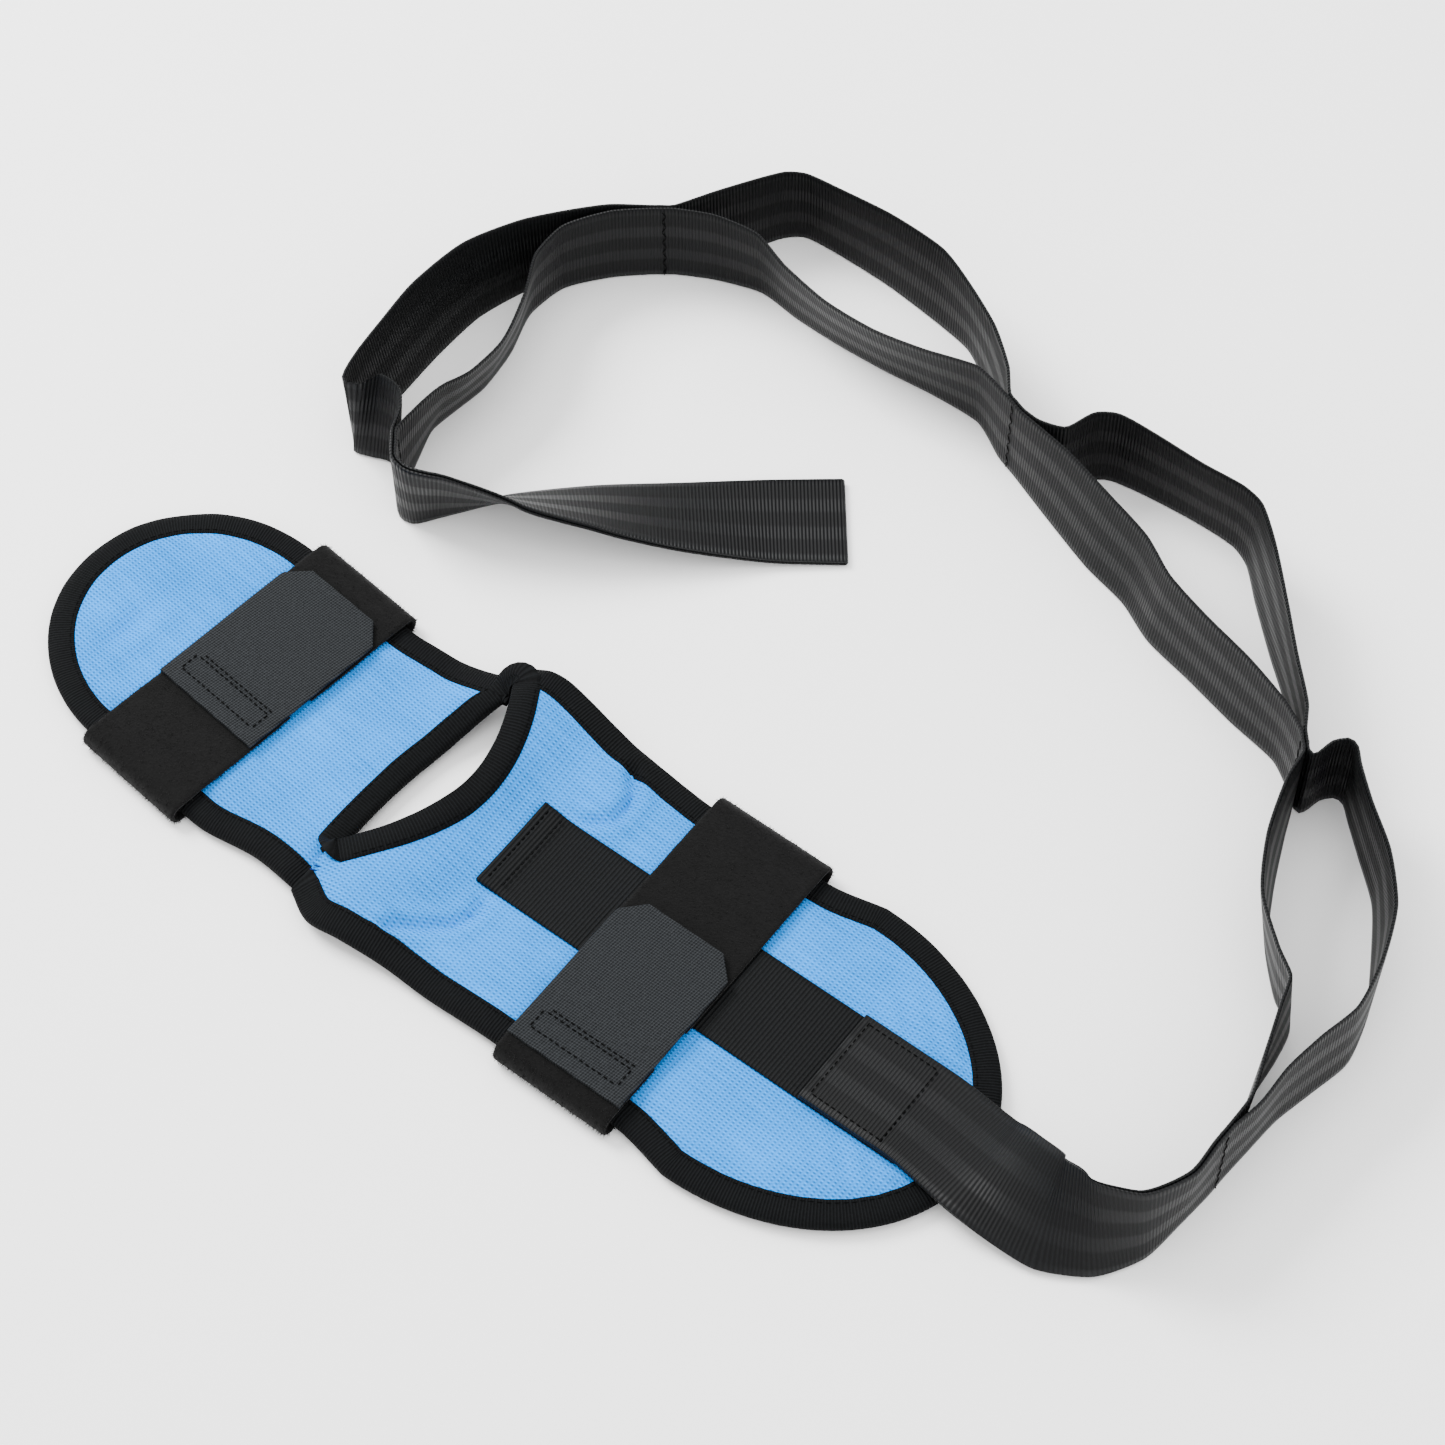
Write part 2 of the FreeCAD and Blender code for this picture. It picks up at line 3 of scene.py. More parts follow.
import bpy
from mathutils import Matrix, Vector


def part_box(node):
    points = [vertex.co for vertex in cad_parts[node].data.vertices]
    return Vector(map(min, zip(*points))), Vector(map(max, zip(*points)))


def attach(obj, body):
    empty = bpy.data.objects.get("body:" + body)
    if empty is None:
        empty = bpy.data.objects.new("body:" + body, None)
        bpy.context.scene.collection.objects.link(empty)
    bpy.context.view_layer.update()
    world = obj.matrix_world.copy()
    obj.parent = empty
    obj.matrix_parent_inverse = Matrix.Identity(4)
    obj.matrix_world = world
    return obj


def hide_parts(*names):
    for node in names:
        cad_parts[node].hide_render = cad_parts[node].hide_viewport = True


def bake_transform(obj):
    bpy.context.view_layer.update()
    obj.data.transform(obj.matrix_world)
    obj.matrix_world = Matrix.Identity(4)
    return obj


bl_info = {
    "name": "Stretching strap maker",
    "version": (1, 0, 0),
    "blender": (4, 5, 0),
    "location": "3D View > Sidebar > Strap",
    "description": "Builds a padded foot sling and its looped pull strap, piece by piece",
    "category": "Object",
}

import math
import random

import bpy
from bpy.props import FloatProperty, FloatVectorProperty, PointerProperty
from mathutils import Vector, noise

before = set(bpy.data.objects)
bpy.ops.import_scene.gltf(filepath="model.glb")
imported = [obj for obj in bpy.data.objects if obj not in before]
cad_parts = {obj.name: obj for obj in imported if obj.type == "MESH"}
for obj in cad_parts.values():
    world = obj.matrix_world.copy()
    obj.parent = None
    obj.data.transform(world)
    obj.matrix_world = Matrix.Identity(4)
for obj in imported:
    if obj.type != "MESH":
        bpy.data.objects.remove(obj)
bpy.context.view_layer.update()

MM = 0.001
CLOTH = "cloth"                     # UV map of every piece: metres along and across it
UP = Vector((0, 0, 1))

# The two lobes lie flat. Their own frames: s runs along the lobe, t runs across it.
SOLE = {"place": (0.0, 0.0), "turn": -37.5, "body": "sole_pad"}
ANKLE = {"place": (-156.0, 121.0), "turn": -44.0, "body": "ankle_pad"}
LOBES = {"sole": SOLE, "ankle": ANKLE}

PAD_BASE = 2.3                      # underside of the pads
PAD_TOP = 6.5
LINING = 0.6                        # thickness of the lining under the foam
BINDING_THICK = 0.7                 # edge binding, where it lies on the pad
RIM_THICK = 0.8                     # the heel opening's binding
HEEL = -119.0                       # heel end of the sole pad's outer edge
SEAM = 78.0                         # ankle strap's middle to the side seams
OPENING = (-36.0, 54.0)             # ends of the heel opening, across the sole pad
OPENING_DEEP = 18.0
NECK = 8.3                          # the ankle's neck leans this far across at the seams
TOE = (50.0, 84.0, 65.5)            # toe arc: centre, length and half width
CROWN = (-27.0, 60.5, 56.0)         # ankle lobe's arc: centre, length and half width
WAIST = {"sole": 61.0, "ankle": 56.0}
STRAP_LOW = 0.8                     # middle of the wrap straps' backs, under the pads
FLAP = {"sole": 8.2, "ankle": 7.5}  # underside of the wrap strap's flaps
NAP = 9000                          # tufts on one half of a wrap strap
TAB = {"sole": (-58.0, 12.0), "ankle": (-22.5, 47.2)}
FAR_FLAP_END = {"sole": -20.0, "ankle": 8.0}
WEB = (-74.0, 112.0, -16.0, 24.0)   # sole webbing: ends along, edges across
# Direction of the side seams' line, from its near end, in each lobe's own frame
SEAM_RUN = {"sole": (0.113, 0.994), "ankle": (0.0, 1.0)}


def linear(code):
    """sRGB hex colour as linear red, green and blue."""
    parts = [int(code[k:k + 2], 16) / 255 for k in (1, 3, 5)]
    return tuple(c / 12.92 if c <= 0.04045 else ((c + 0.055) / 1.055) ** 2.4 for c in parts)


def node_height(name):
    """Thickness of a flat CAD node."""
    low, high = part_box(name)
    return high.z - low.z


def length_of(name, description, default):
    """Size property in metres."""
    return FloatProperty(name=name, description=description, default=default, unit="LENGTH")


def colour_of(name, description, code):
    """Colour property from an sRGB hex code."""
    return FloatVectorProperty(name=name, description=description, subtype="COLOR",
                               default=linear(code))


class StrapSizes(bpy.types.PropertyGroup):
    web_width: length_of("Webbing width", "Pull strap and sole webbing", 0.040)
    web_thick: length_of("Webbing thickness", "One layer", node_height("sole_webbing"))
    tape_width: length_of("Tape width", "Hook tape and loop tape", 0.050)
    tape_thick: length_of("Tape thickness", "Hook tape and loop tape",
                          node_height("sole_hook_tab"))
    binding_width: length_of("Binding width", "Edge binding that shows", 0.0098)
    rim_width: length_of("Rim width", "Binding round the heel opening", 0.0100)
    stitch_pitch: length_of("Stitch pitch", "Start of one stitch to the next", 0.0030)


class StrapColours(bpy.types.PropertyGroup):
    cover: colour_of("Pad cover", "Woven face of the pads", "#0096ff")
    binding: colour_of("Binding", "Folded edge tape", "#08090a")
    plush: colour_of("Loop tape", "Napped loop tape", "#050505")
    hook: colour_of("Hook tape", "Moulded hook tape", "#232527")
    webbing: colour_of("Webbing", "Pull strap webbing", "#0b0c0d")
    thread: colour_of("Thread", "Sewing thread", "#070707")
    seam_thread: colour_of("Seam thread", "Side seam sewing", "#16307c")


# ---------------------------------------------------------------- curves and places
def spread(low, high, count):
    """Values from low to high in so many even steps."""
    return [low + (high - low) * k / count for k in range(count + 1)]


def curve_at(knots, x, slack=1.0):
    """Smooth value at x through (x, value) knots, level beyond the ends; less slack turns
    more sharply at the knots."""
    if x <= knots[0][0]:
        return knots[0][1]
    for k in range(len(knots) - 1):
        (x0, y0), (x1, y1) = knots[k], knots[k + 1]
        if x <= x1:
            before = knots[k - 1] if k else knots[k]
            after = knots[k + 2] if k + 2 < len(knots) else knots[k + 1]
            span = x1 - x0
            m0 = slack * (y1 - before[1]) / (x1 - before[0]) * span
            m1 = slack * (after[1] - y0) / (after[0] - x0) * span
            u = (x - x0) / span
            return (y0 * (1 + 2 * u) * (1 - u) ** 2 + m0 * u * (1 - u) ** 2
                    + y1 * u * u * (3 - 2 * u) + m1 * u * u * (u - 1))
    return knots[-1][1]


def step_up(x, low, high):
    """0 below low, 1 above high, smooth between."""
    u = min(1.0, max(0.0, (x - low) / (high - low)))
    return u * u * (3 - 2 * u)


def place(lobe, s, t, z):
    """Point of a lobe's own frame, given in millimetres, in the row frame."""
    a = math.radians(lobe["turn"])
    x = lobe["place"][0] + s * math.cos(a) - t * math.sin(a)
    y = lobe["place"][1] + s * math.sin(a) + t * math.cos(a)
    return Vector((x, y, z)) * MM


def seam_in_sole(t):
    """Where the side seams' line crosses the sole pad, t across."""
    return -119.9 + (t + 7.8) * math.tan(math.radians(6.5))


def bow(t, ends):
    """0 outside the heel opening and at its ends, 1 in its middle, along an arc."""
    u = (2 * t - ends[0] - ends[1]) / (ends[1] - ends[0])
    return max(0.0, 1 - u * u)


def sole_heel(t):
    """Heel end of the sole pad: the side seams, and the opening's edge between them."""
    return seam_in_sole(t) + OPENING_DEEP * bow(t, OPENING)


def ankle_heel(t):
    """Heel end of the ankle pad."""
    ends = (OPENING[0] + NECK, OPENING[1] + NECK / 2)
    return SEAM - 4.0 * bow(t, ends)


SOLE_NEAR = [(-119, -58), (-105, -65), (-91, -64), (-73, -62), (-54, -62), (-27, -61), (27, -61),
             (50, -65.5)]
SOLE_FAR = [(-119, 65), (-105, 67), (-91, 66), (-73, 64), (-54, 63), (-27, 61), (27, 61),
            (50, 65.5)]
ANKLE_NEAR = [(-27, -56), (27, -55.6), (36, -55), (58, -49.8), (78, -49.4)]
ANKLE_FAR = [(-27, 56), (27, 56.4), (36, 57.5), (58, 61), (78, 65.5)]


def half_width(s, arc):
    """Half width of a lobe's round end at s."""
    centre, length, half = arc
    return half * math.sqrt(max(0.0, 1 - ((s - centre) / length) ** 2))


def sole_edges(s):
    """Near and far edges of the sole pad at s."""
    if s > TOE[0]:
        return -half_width(s, TOE), half_width(s, TOE)
    return curve_at(SOLE_NEAR, s), curve_at(SOLE_FAR, s)


def ankle_edges(s):
    """Near and far edges of the ankle pad at s."""
    if s < CROWN[0]:
        return -half_width(s, CROWN), half_width(s, CROWN)
    return curve_at(ANKLE_NEAR, s), curve_at(ANKLE_FAR, s)


# How far the sole pad's heel end stands up: rows of (s, rises from the near to the far edge)
HEEL_RISE = [
    (-119, (1, 8.5, 12.5, 15.5, 6)),
    (-105, (4, 8, 12, 14.5, 12)),
    (-91, (3.5, 4.5, 6.5, 9.5, 10)),
    (-77, (1.5, 0.8, 0.8, 3, 6)),
    (-62, (0.3, 0, 0, 0.4, 2)),
    (-42, (0, 0, 0, 0, 0)),
]
# Creases round the heel cup, from the webbing's end outward to each side
CREASES = [
    [(-69, -15), (-65.5, -26), (-69, -35), (-76, -42), (-86, -50)],
    [(-71, 20), (-60, 26), (-50, 35), (-50.5, 46), (-58, 55)],
]


def sole_rise(s, t):
    """Height of the sole pad's underside above where it lies flat."""
    near, far = sole_edges(s)
    v = (t - near) / max(1e-6, far - near)
    across = [(row, curve_at([(k / 4, rise) for k, rise in enumerate(rises)], v))
              for row, rises in HEEL_RISE]
    return max(0.0, curve_at(across, s))


def ankle_rise(s, t):
    """The ankle pad lifts a little where its neck meets the standing heel edge."""
    return 8.0 * step_up(s, 48, 80) * step_up(t, 22, 66) + 0.8 * step_up(s, 60, 80)


def distance_to_line(s, t, line):
    """Distance from a place to a run of straight pieces."""
    best = 1e9
    for (s0, t0), (s1, t1) in zip(line, line[1:]):
        ds, dt = s1 - s0, t1 - t0
        u = min(1.0, max(0.0, ((s - s0) * ds + (t - t0) * dt) / (ds * ds + dt * dt)))
        best = min(best, math.hypot(s - s0 - u * ds, t - t0 - u * dt))
    return best


def sole_inset(s, t):
    """How far a place lies inside the sole pad's outer edge."""
    near, far = sole_edges(s)
    inside = min(t - near, far - t)
    if s > TOE[0]:
        r = math.hypot((s - TOE[0]) / TOE[1], t / TOE[2])
        inside = (1 - r) * (TOE[1] * abs(s - TOE[0]) / TOE[1] + TOE[2] * abs(t) / TOE[2]) / max(
            1e-6, (s - TOE[0]) / TOE[1] + abs(t) / TOE[2])
    return max(0.0, inside)


def ankle_inset(s, t):
    """How far a place lies inside the ankle pad's outer edge."""
    near, far = ankle_edges(s)
    inside = min(t - near, far - t)
    if s < CROWN[0]:
        r = math.hypot((s - CROWN[0]) / CROWN[1], t / CROWN[2])
        inside = (1 - r) * 58
    return max(0.0, inside)


def crown(inset, heel_gap):
    """Pad thickness: pressed under the binding and along the seams, fuller just inside."""
    edge = 2.5 + 0.7 * step_up(inset, 0, 3) + 0.9 * step_up(inset, 5, 16)
    puff = 0.5 * step_up(inset, 9, 15) * (1 - step_up(inset, 15, 40))
    return edge + puff - 1.4 * (1 - step_up(heel_gap, 0, 7))


def waves(s, t, wide, fine):
    """Slow unevenness of a pad's face, from two noises."""
    return noise.noise(Vector((s / 24, t / 24, wide))) + 0.5 * noise.noise(
        Vector((s / 10, t / 10, fine)))


def sole_top(s, t):
    """Height of the sole pad's face."""
    z = PAD_BASE + sole_rise(s, t) + crown(sole_inset(s, t), s - sole_heel(t))
    under_web = step_up(s, WEB[0] - 6, WEB[0]) * (1 - step_up(s, WEB[1], WEB[1] + 8))
    under_web *= step_up(t, WEB[2] - 6, WEB[2]) * (1 - step_up(t, WEB[3], WEB[3] + 6))
    under_strap = 1 - step_up(abs(s), 25, 33)
    free = (1 - under_web) * (1 - under_strap)
    for line in CREASES:
        far_off = distance_to_line(s, t, line)
        z += free * (1.1 * math.exp(-((far_off - 5.0) / 3.0) ** 2)
                     - 1.9 * math.exp(-(far_off / 1.9) ** 2))
    pull = math.exp(-(math.hypot(s - 86, t - 27) / 16) ** 2) + math.exp(
        -(math.hypot(s - 100, t + 20) / 14) ** 2)
    z += free * (0.7 * waves(s, t, 3.1, 8.4) + 0.9 * pull * math.sin(0.45 * (s + 1.2 * t)))
    return min(z, PAD_TOP - 0.05) if under_web > 0.5 and s > -60 else z


def ankle_top(s, t):
    """Height of the ankle pad's face."""
    z = PAD_BASE + ankle_rise(s, t) + crown(ankle_inset(s, t), ankle_heel(t) - s)
    free = step_up(abs(s), 25, 33)
    dimple = math.exp(-((s + 50) / 5) ** 2 - ((t + 19) / 14) ** 2)
    fold = math.exp(-((s + 44) / 5) ** 2 - ((t + 14) / 20) ** 2)
    return z + free * (0.7 * waves(s, t, 5.7, 1.3) - 2.0 * dimple + 1.5 * fold)


SHAPE = {
    "sole": (sole_edges, sole_top, sole_rise, sole_heel),
    "ankle": (ankle_edges, ankle_top, ankle_rise, ankle_heel),
}


# ---------------------------------------------------------------- making pieces
def mesh_piece(name, points, faces, uvs, material, angle=45):
    """New object from points in metres, with one UV per point, faces turned outward."""
    bpy.ops.object.select_all(action="DESELECT")
    mesh = bpy.data.meshes.new(name)
    mesh.from_pydata([tuple(p) for p in points], [], faces)
    layer = mesh.uv_layers.new(name=CLOTH)
    for loop in mesh.loops:
        layer.data[loop.index].uv = uvs[loop.vertex_index]
    mesh.materials.append(material)
    piece = bpy.data.objects.new(name, mesh)
    bpy.context.scene.collection.objects.link(piece)
    bpy.context.view_layer.objects.active = piece
    piece.select_set(True)
    bpy.ops.object.mode_set(mode="EDIT")
    bpy.ops.mesh.select_all(action="SELECT")
    bpy.ops.mesh.normals_make_consistent(inside=False)
    bpy.ops.object.mode_set(mode="OBJECT")
    bpy.ops.object.shade_smooth_by_angle(angle=math.radians(angle))
    piece.select_set(False)
    return piece


def ringed_piece(name, rings, uv_rings, material, angle=45):
    """Closed piece skinned over rings of points, with its two ends capped."""
    count = len(rings[0])
    points = [p for ring in rings for p in ring]
    uvs = [uv for ring in uv_rings for uv in ring]
    faces = []
    for r in range(len(rings) - 1):
        for k in range(count):
            n = (k + 1) % count
            faces.append((r * count + k, r * count + n, (r + 1) * count + n, (r + 1) * count + k))
    last = (len(rings) - 1) * count
    half = count // 2
    for k in range(half - 1):
        faces.append((k, k + 1, count - 2 - k, count - 1 - k))
        faces.append((last + k, last + k + 1, last + count - 2 - k, last + count - 1 - k))
    return mesh_piece(name, points, faces, uvs, material, angle)


def tape_section(width, thick, count=9):
    """Places round a tape's section, (across, off its middle), with rounded selvages."""
    inner = [width * k / (count - 1) for k in range(1, count - 1)]
    round_in = 0.35 * thick
    across = [0.0, round_in] + inner + [width - round_in, width]
    lift = [0.22 * thick, 0.47 * thick] + [0.5 * thick] * len(inner) + [0.47 * thick, 0.22 * thick]
    face = list(zip(across, lift))
    return face + [(a, -o) for a, o in reversed(face)]


def fuzz(piece, height, scale):
    """Nap: small uneven lift of a plush piece's surface."""
    for vertex in piece.data.vertices:
        p = vertex.co / (scale * MM)
        vertex.co += vertex.normal * (height * MM * noise.noise(p))


def tufts(name, piece, count, material):
    """Short slanted fibres standing out of a piece's surface, more of them along its edges."""
    chance = random.Random(11)
    points, faces, uvs = [], [], []
    cells = [f for f in piece.data.polygons if f.area > 0]
    for _ in range(count):
        cell = cells[chance.randrange(len(cells))]
        corners = [piece.data.vertices[k].co for k in cell.vertices]
        a, b = chance.random(), chance.random()
        root = corners[0].lerp(corners[1], a).lerp(corners[3].lerp(corners[2], a), b)
        lean = Vector([chance.uniform(-0.7, 0.7) for _ in range(3)])
        tip = root + (cell.normal + lean).normalized() * chance.uniform(0.6, 1.5) * MM
        side = cell.normal.orthogonal().normalized() * 0.13 * MM    # a fibre's half thickness
        other = cell.normal.cross(side)
        start = len(points)
        sunk = root - cell.normal * 0.15 * MM
        points += [sunk + side, sunk - side * 0.5 + other * 0.87,
                   sunk - side * 0.5 - other * 0.87, tip]
        uvs += [(root.x, root.y)] * 4
        faces += [(start + 1, start, start + 2), (start, start + 1, start + 3),
                  (start + 1, start + 2, start + 3), (start + 2, start, start + 3)]
    return mesh_piece(name, points, faces, uvs, material, 60)


def one_stitch():
    """Points and faces of one stitch: a short rod of thread with round ends, along X."""
    bpy.ops.object.select_all(action="DESELECT")
    bpy.ops.mesh.primitive_uv_sphere_add(segments=8, ring_count=6, radius=0.5)
    ball = bpy.context.object
    bpy.ops.object.mode_set(mode="EDIT")
    bpy.ops.transform.rotate(value=math.pi / 2, orient_axis="Y", center_override=(0, 0, 0))
    bpy.ops.object.mode_set(mode="OBJECT")
    points = [v.co.copy() for v in ball.data.vertices]
    faces = [tuple(p.vertices) for p in ball.data.polygons]
    bpy.data.objects.remove(ball)
    return points, faces


def stitches(name, runs, length, thick, material):
    """Rows of stitches as one piece; each run is a list of (place, direction, up)."""
    points, faces = one_stitch()
    all_points, all_faces, uvs = [], [], []
    for run in runs:
        for spot, ahead, up in run:
            x = ahead.normalized()
            y = up.cross(x).normalized()
            z = x.cross(y)
            start = len(all_points)
            for p in points:
                all_points.append(spot + x * p.x * length + y * p.y * thick + z * p.z * thick)
                uvs.append((p.x * length, p.y * thick))
            all_faces += [tuple(start + k for k in f) for f in faces]
    return mesh_piece(name, all_points, all_faces, uvs, material, 60)


def stitch_spots(line, up, pitch, tilt=0.0):
    """Evenly spaced stitch places along a line of points."""
    spots, travelled = [], pitch / 2
    for a, b in zip(line, line[1:]):
        run = b - a
        while travelled <= run.length:
            ahead = run.normalized()
            side = up.cross(ahead)
            spots.append((a + ahead * travelled, ahead + side * tilt, up))
            travelled += pitch
        travelled -= run.length
    return spots


# ---------------------------------------------------------------- materials
class Cloth:
    """Material in the making: its nodes, its shader, and the cloth UV with its two axes."""

    def __init__(self, name, roughness, **shader_values):
        material = bpy.data.materials.new(name)
        material.use_nodes = True
        self.tree = material.node_tree
        self.shader = self.tree.nodes["Principled BSDF"]
        for key, value in {"Roughness": roughness, **shader_values}.items():
            self.shader.inputs[key.replace("_", " ")].default_value = value
        self.uv = self.put("ShaderNodeUVMap", {"uv_map": CLOTH}).outputs["UV"]
        axes = self.put("ShaderNodeSeparateXYZ", inputs={0: self.uv}).outputs
        self.along, self.across = axes["X"], axes["Y"]

    def put(self, kind, settings=None, inputs=None):
        """Add one node with its own settings, and values or links for its inputs."""
        made = self.tree.nodes.new(kind)
        for name, value in (settings or {}).items():
            setattr(made, name, value)
        for key, value in (inputs or {}).items():
            if isinstance(value, bpy.types.NodeSocket):
                self.tree.links.new(value, made.inputs[key])
            else:
                made.inputs[key].default_value = value
        return made

    def mix(self, *parts):
        """Sum of outputs, each given with its weight, which may be an output too."""
        total = 0.0
        for output, weight in parts:
            total = self.put("ShaderNodeMath", {"operation": "MULTIPLY_ADD"},
                             {0: output, 1: weight, 2: total}).outputs[0]
        return total

    def wave(self, axis, pitch):
        """Sine wave across a pattern, one cycle per pitch in millimetres."""
        turns = self.mix((axis, 2 * math.pi / (pitch * MM)))
        return self.put("ShaderNodeMath", {"operation": "SINE"}, {0: turns}).outputs[0]

    def speckle(self, size, detail=2.0):
        """Noise on Object coordinates with features of that size in millimetres."""
        where = self.put("ShaderNodeTexCoord").outputs["Object"]
        return self.put("ShaderNodeTexNoise", None,
                        {"Vector": where, "Scale": 1 / (size * MM), "Detail": detail}).outputs["Fac"]

    def yarn(self, along, across):
        """Streaks where the yarn varies, with that many to the metre each way."""
        streak = self.put("ShaderNodeMapping", None, {"Vector": self.uv, "Scale": (along, across, 1)})
        return self.put("ShaderNodeTexNoise", None,
                        {"Vector": streak.outputs[0], "Scale": 1.0, "Detail": 1.0}).outputs["Fac"]

    def surface(self, colour, shade, shares, relief, depth, strength=1.0):
        """Colour that goes from one share of its value to the other as shade goes from 0 to 1,
        over a relief of that depth in millimetres."""
        mix = self.put("ShaderNodeMix", {"data_type": "RGBA"}, {"Factor": shade})
        for slot, share in zip((6, 7), shares):
            mix.inputs[slot].default_value = (*[min(1, c * share) for c in colour], 1)
        self.tree.links.new(mix.outputs[2], self.shader.inputs["Base Color"])
        raised = self.put("ShaderNodeBump", None,
                          {"Height": relief, "Distance": depth * MM, "Strength": strength})
        self.tree.links.new(raised.outputs["Normal"], self.shader.inputs["Normal"])


def woven_cover(colours):
    """Polyester oxford, plain woven and laminated to foam: matte, an even fine check of threads
    with slight streaks where the yarn varies. Threads are 0.5 mm, drawn at 1.4 mm so they show."""
    cloth = Cloth("oxford_cover", 0.85, Specular_IOR_Level=0.03)
    threads = cloth.wave(cloth.across, 1.4)
    check = cloth.mix((cloth.wave(cloth.along, 2.0), threads))
    weave = cloth.mix((check, 0.6), (threads, 0.5))
    shade = cloth.mix((weave, 0.45), (cloth.yarn(40, 900), 0.5), (cloth.speckle(30), 0.5))
    cloth.surface(colours.cover, shade, (0.32, 1.0), weave, 0.2)


def ribbed_tape(name, colour, pitch, rough):
    """Woven polyester tape with fine ribs across it: matte, each rib a soft line. Real ribs are
    under 1 mm apart, and are drawn a little coarser so they show."""
    cloth = Cloth(name, rough, Specular_IOR_Level=0.07)
    rib = cloth.wave(cloth.along, pitch)
    grain = cloth.speckle(0.9)
    cloth.surface(colour, cloth.mix((rib, 0.45), (grain, 1.0)), (0.4, 1.7),
                  cloth.mix((rib, 1.0), (grain, 1.0)), 0.14)


def napped_loop(colours):
    """Brushed nylon loop tape: deep black pile that catches light only at a low angle."""
    cloth = Cloth("brushed_loop_tape", 1.0, Sheen_Weight=0.06, Sheen_Roughness=0.6,
                  Specular_IOR_Level=0.02)
    pile = cloth.speckle(0.8, 4.0)
    shade = cloth.mix((pile, 0.8), (cloth.speckle(7.0), 0.35))
    cloth.surface(colours.plush, shade, (0.0, 2.6), pile, 0.3, 0.8)


def moulded_hook(colours):
    """Nylon hook tape: dark grey, rows of tiny hooks that read as a slanting grain. The rows are
    drawn coarser than the real ones so they show."""
    cloth = Cloth("moulded_hook_tape", 0.7, Specular_IOR_Level=0.08)
    slant = cloth.mix((cloth.along, 1.0), (cloth.across, 1.0))
    other = cloth.mix((cloth.along, 1.0), (cloth.across, -1.0))
    hooks = cloth.mix((cloth.wave(slant, 2.3), cloth.wave(other, 1.9)))
    grain = cloth.speckle(0.7, 3.0)
    cloth.surface(colours.hook, cloth.mix((hooks, 0.5), (grain, 1.0)), (0.45, 1.6),
                  cloth.mix((hooks, 1.0), (grain, 1.0)), 0.4)


def striped_webbing(colours):
    """Polyester webbing, close woven: fine ribs across it, and satin stripes along it that are
    smoother, so they shine a little more than the ground between them; the stripes' colour is
    also painted lighter, a painted sheen. Ribs are about 1 mm, drawn at 1.4 mm so they show."""
    cloth = Cloth("striped_webbing", 0.5, Specular_IOR_Level=0.12)
    rib = cloth.wave(cloth.along, 1.4)
    twill = cloth.wave(cloth.mix((cloth.along, 1.0), (cloth.across, 1.0)), 3.1)
    bands = cloth.wave(cloth.mix((cloth.across, 1.0), (3.3 * MM, 1.0)), 13.3)
    satin = cloth.put("ShaderNodeMapRange", None,
                      {"Value": bands, "From Min": -0.15, "From Max": 0.45}).outputs[0]
    # the satin stripes lift the colour here: painted sheen on the smoother stripes
    shade = cloth.mix((satin, 0.28), (rib, 0.35), (twill, 0.06), (cloth.yarn(60, 1500), 0.4))
    rough = cloth.put("ShaderNodeMapRange", None,
                      {"Value": satin, "To Min": 0.62, "To Max": 0.46}).outputs[0]
    cloth.tree.links.new(rough, cloth.shader.inputs["Roughness"])
    cloth.surface(colours.webbing, shade, (0.45, 1.7), rib, 0.14)


def sewing_thread(name, colour):
    """Bonded polyester thread: twisted, with a slight shine along the twist."""
    cloth = Cloth(name, 0.7, Specular_IOR_Level=0.04)
    twist = cloth.wave(cloth.mix((cloth.along, 1.0), (cloth.across, 1.0)), 0.7)
    # the lighter bands along the twist are painted into the colour: a painted shine
    cloth.surface(colour, cloth.mix((twist, 0.5)), (0.6, 1.2), twist, 0.1, 0.6)


def knitted_lining(colours):
    """Brushed warp knit under the pads: black, soft, with a faint grain. Its loops are drawn
    coarser than the real ones so they show."""
    cloth = Cloth("knitted_lining", 0.85, Sheen_Weight=0.2, Specular_IOR_Level=0.2)
    knit = cloth.mix((cloth.wave(cloth.along, 1.6), cloth.wave(cloth.across, 1.1)))
    shade = cloth.mix((knit, 1.0), (cloth.speckle(1.2), 1.0))
    cloth.surface(colours.binding, shade, (0.6, 1.3), knit, 0.2, 0.7)


FINISHES = {
    "oxford_cover": woven_cover,
    "grosgrain_binding": lambda c: ribbed_tape("grosgrain_binding", c.binding, 1.2, 0.85),
    "sole_webbing_rib": lambda c: ribbed_tape("sole_webbing_rib", c.binding, 1.5, 0.62),
    "brushed_loop_tape": napped_loop,
    "moulded_hook_tape": moulded_hook,
    "striped_webbing": striped_webbing,
    "black_thread": lambda c: sewing_thread("black_thread", c.thread),
    "blue_thread": lambda c: sewing_thread("blue_thread", c.seam_thread),
    "knitted_lining": knitted_lining,
}


def finish(name):
    """One of the object's materials, made the first time it is asked for."""
    if name not in bpy.data.materials:
        FINISHES[name](bpy.context.scene.strap_colours)
    return bpy.data.materials[name]


def settle(piece, name, nodes):
    """Ride a pad piece on the sole pad, or, on the ankle, bake its transform in place; hide the nodes
    it stands for.
    """
    if name == "ankle":
        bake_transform(piece)
    else:
        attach(piece, "sole_pad")
    if nodes:
        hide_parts(*nodes)


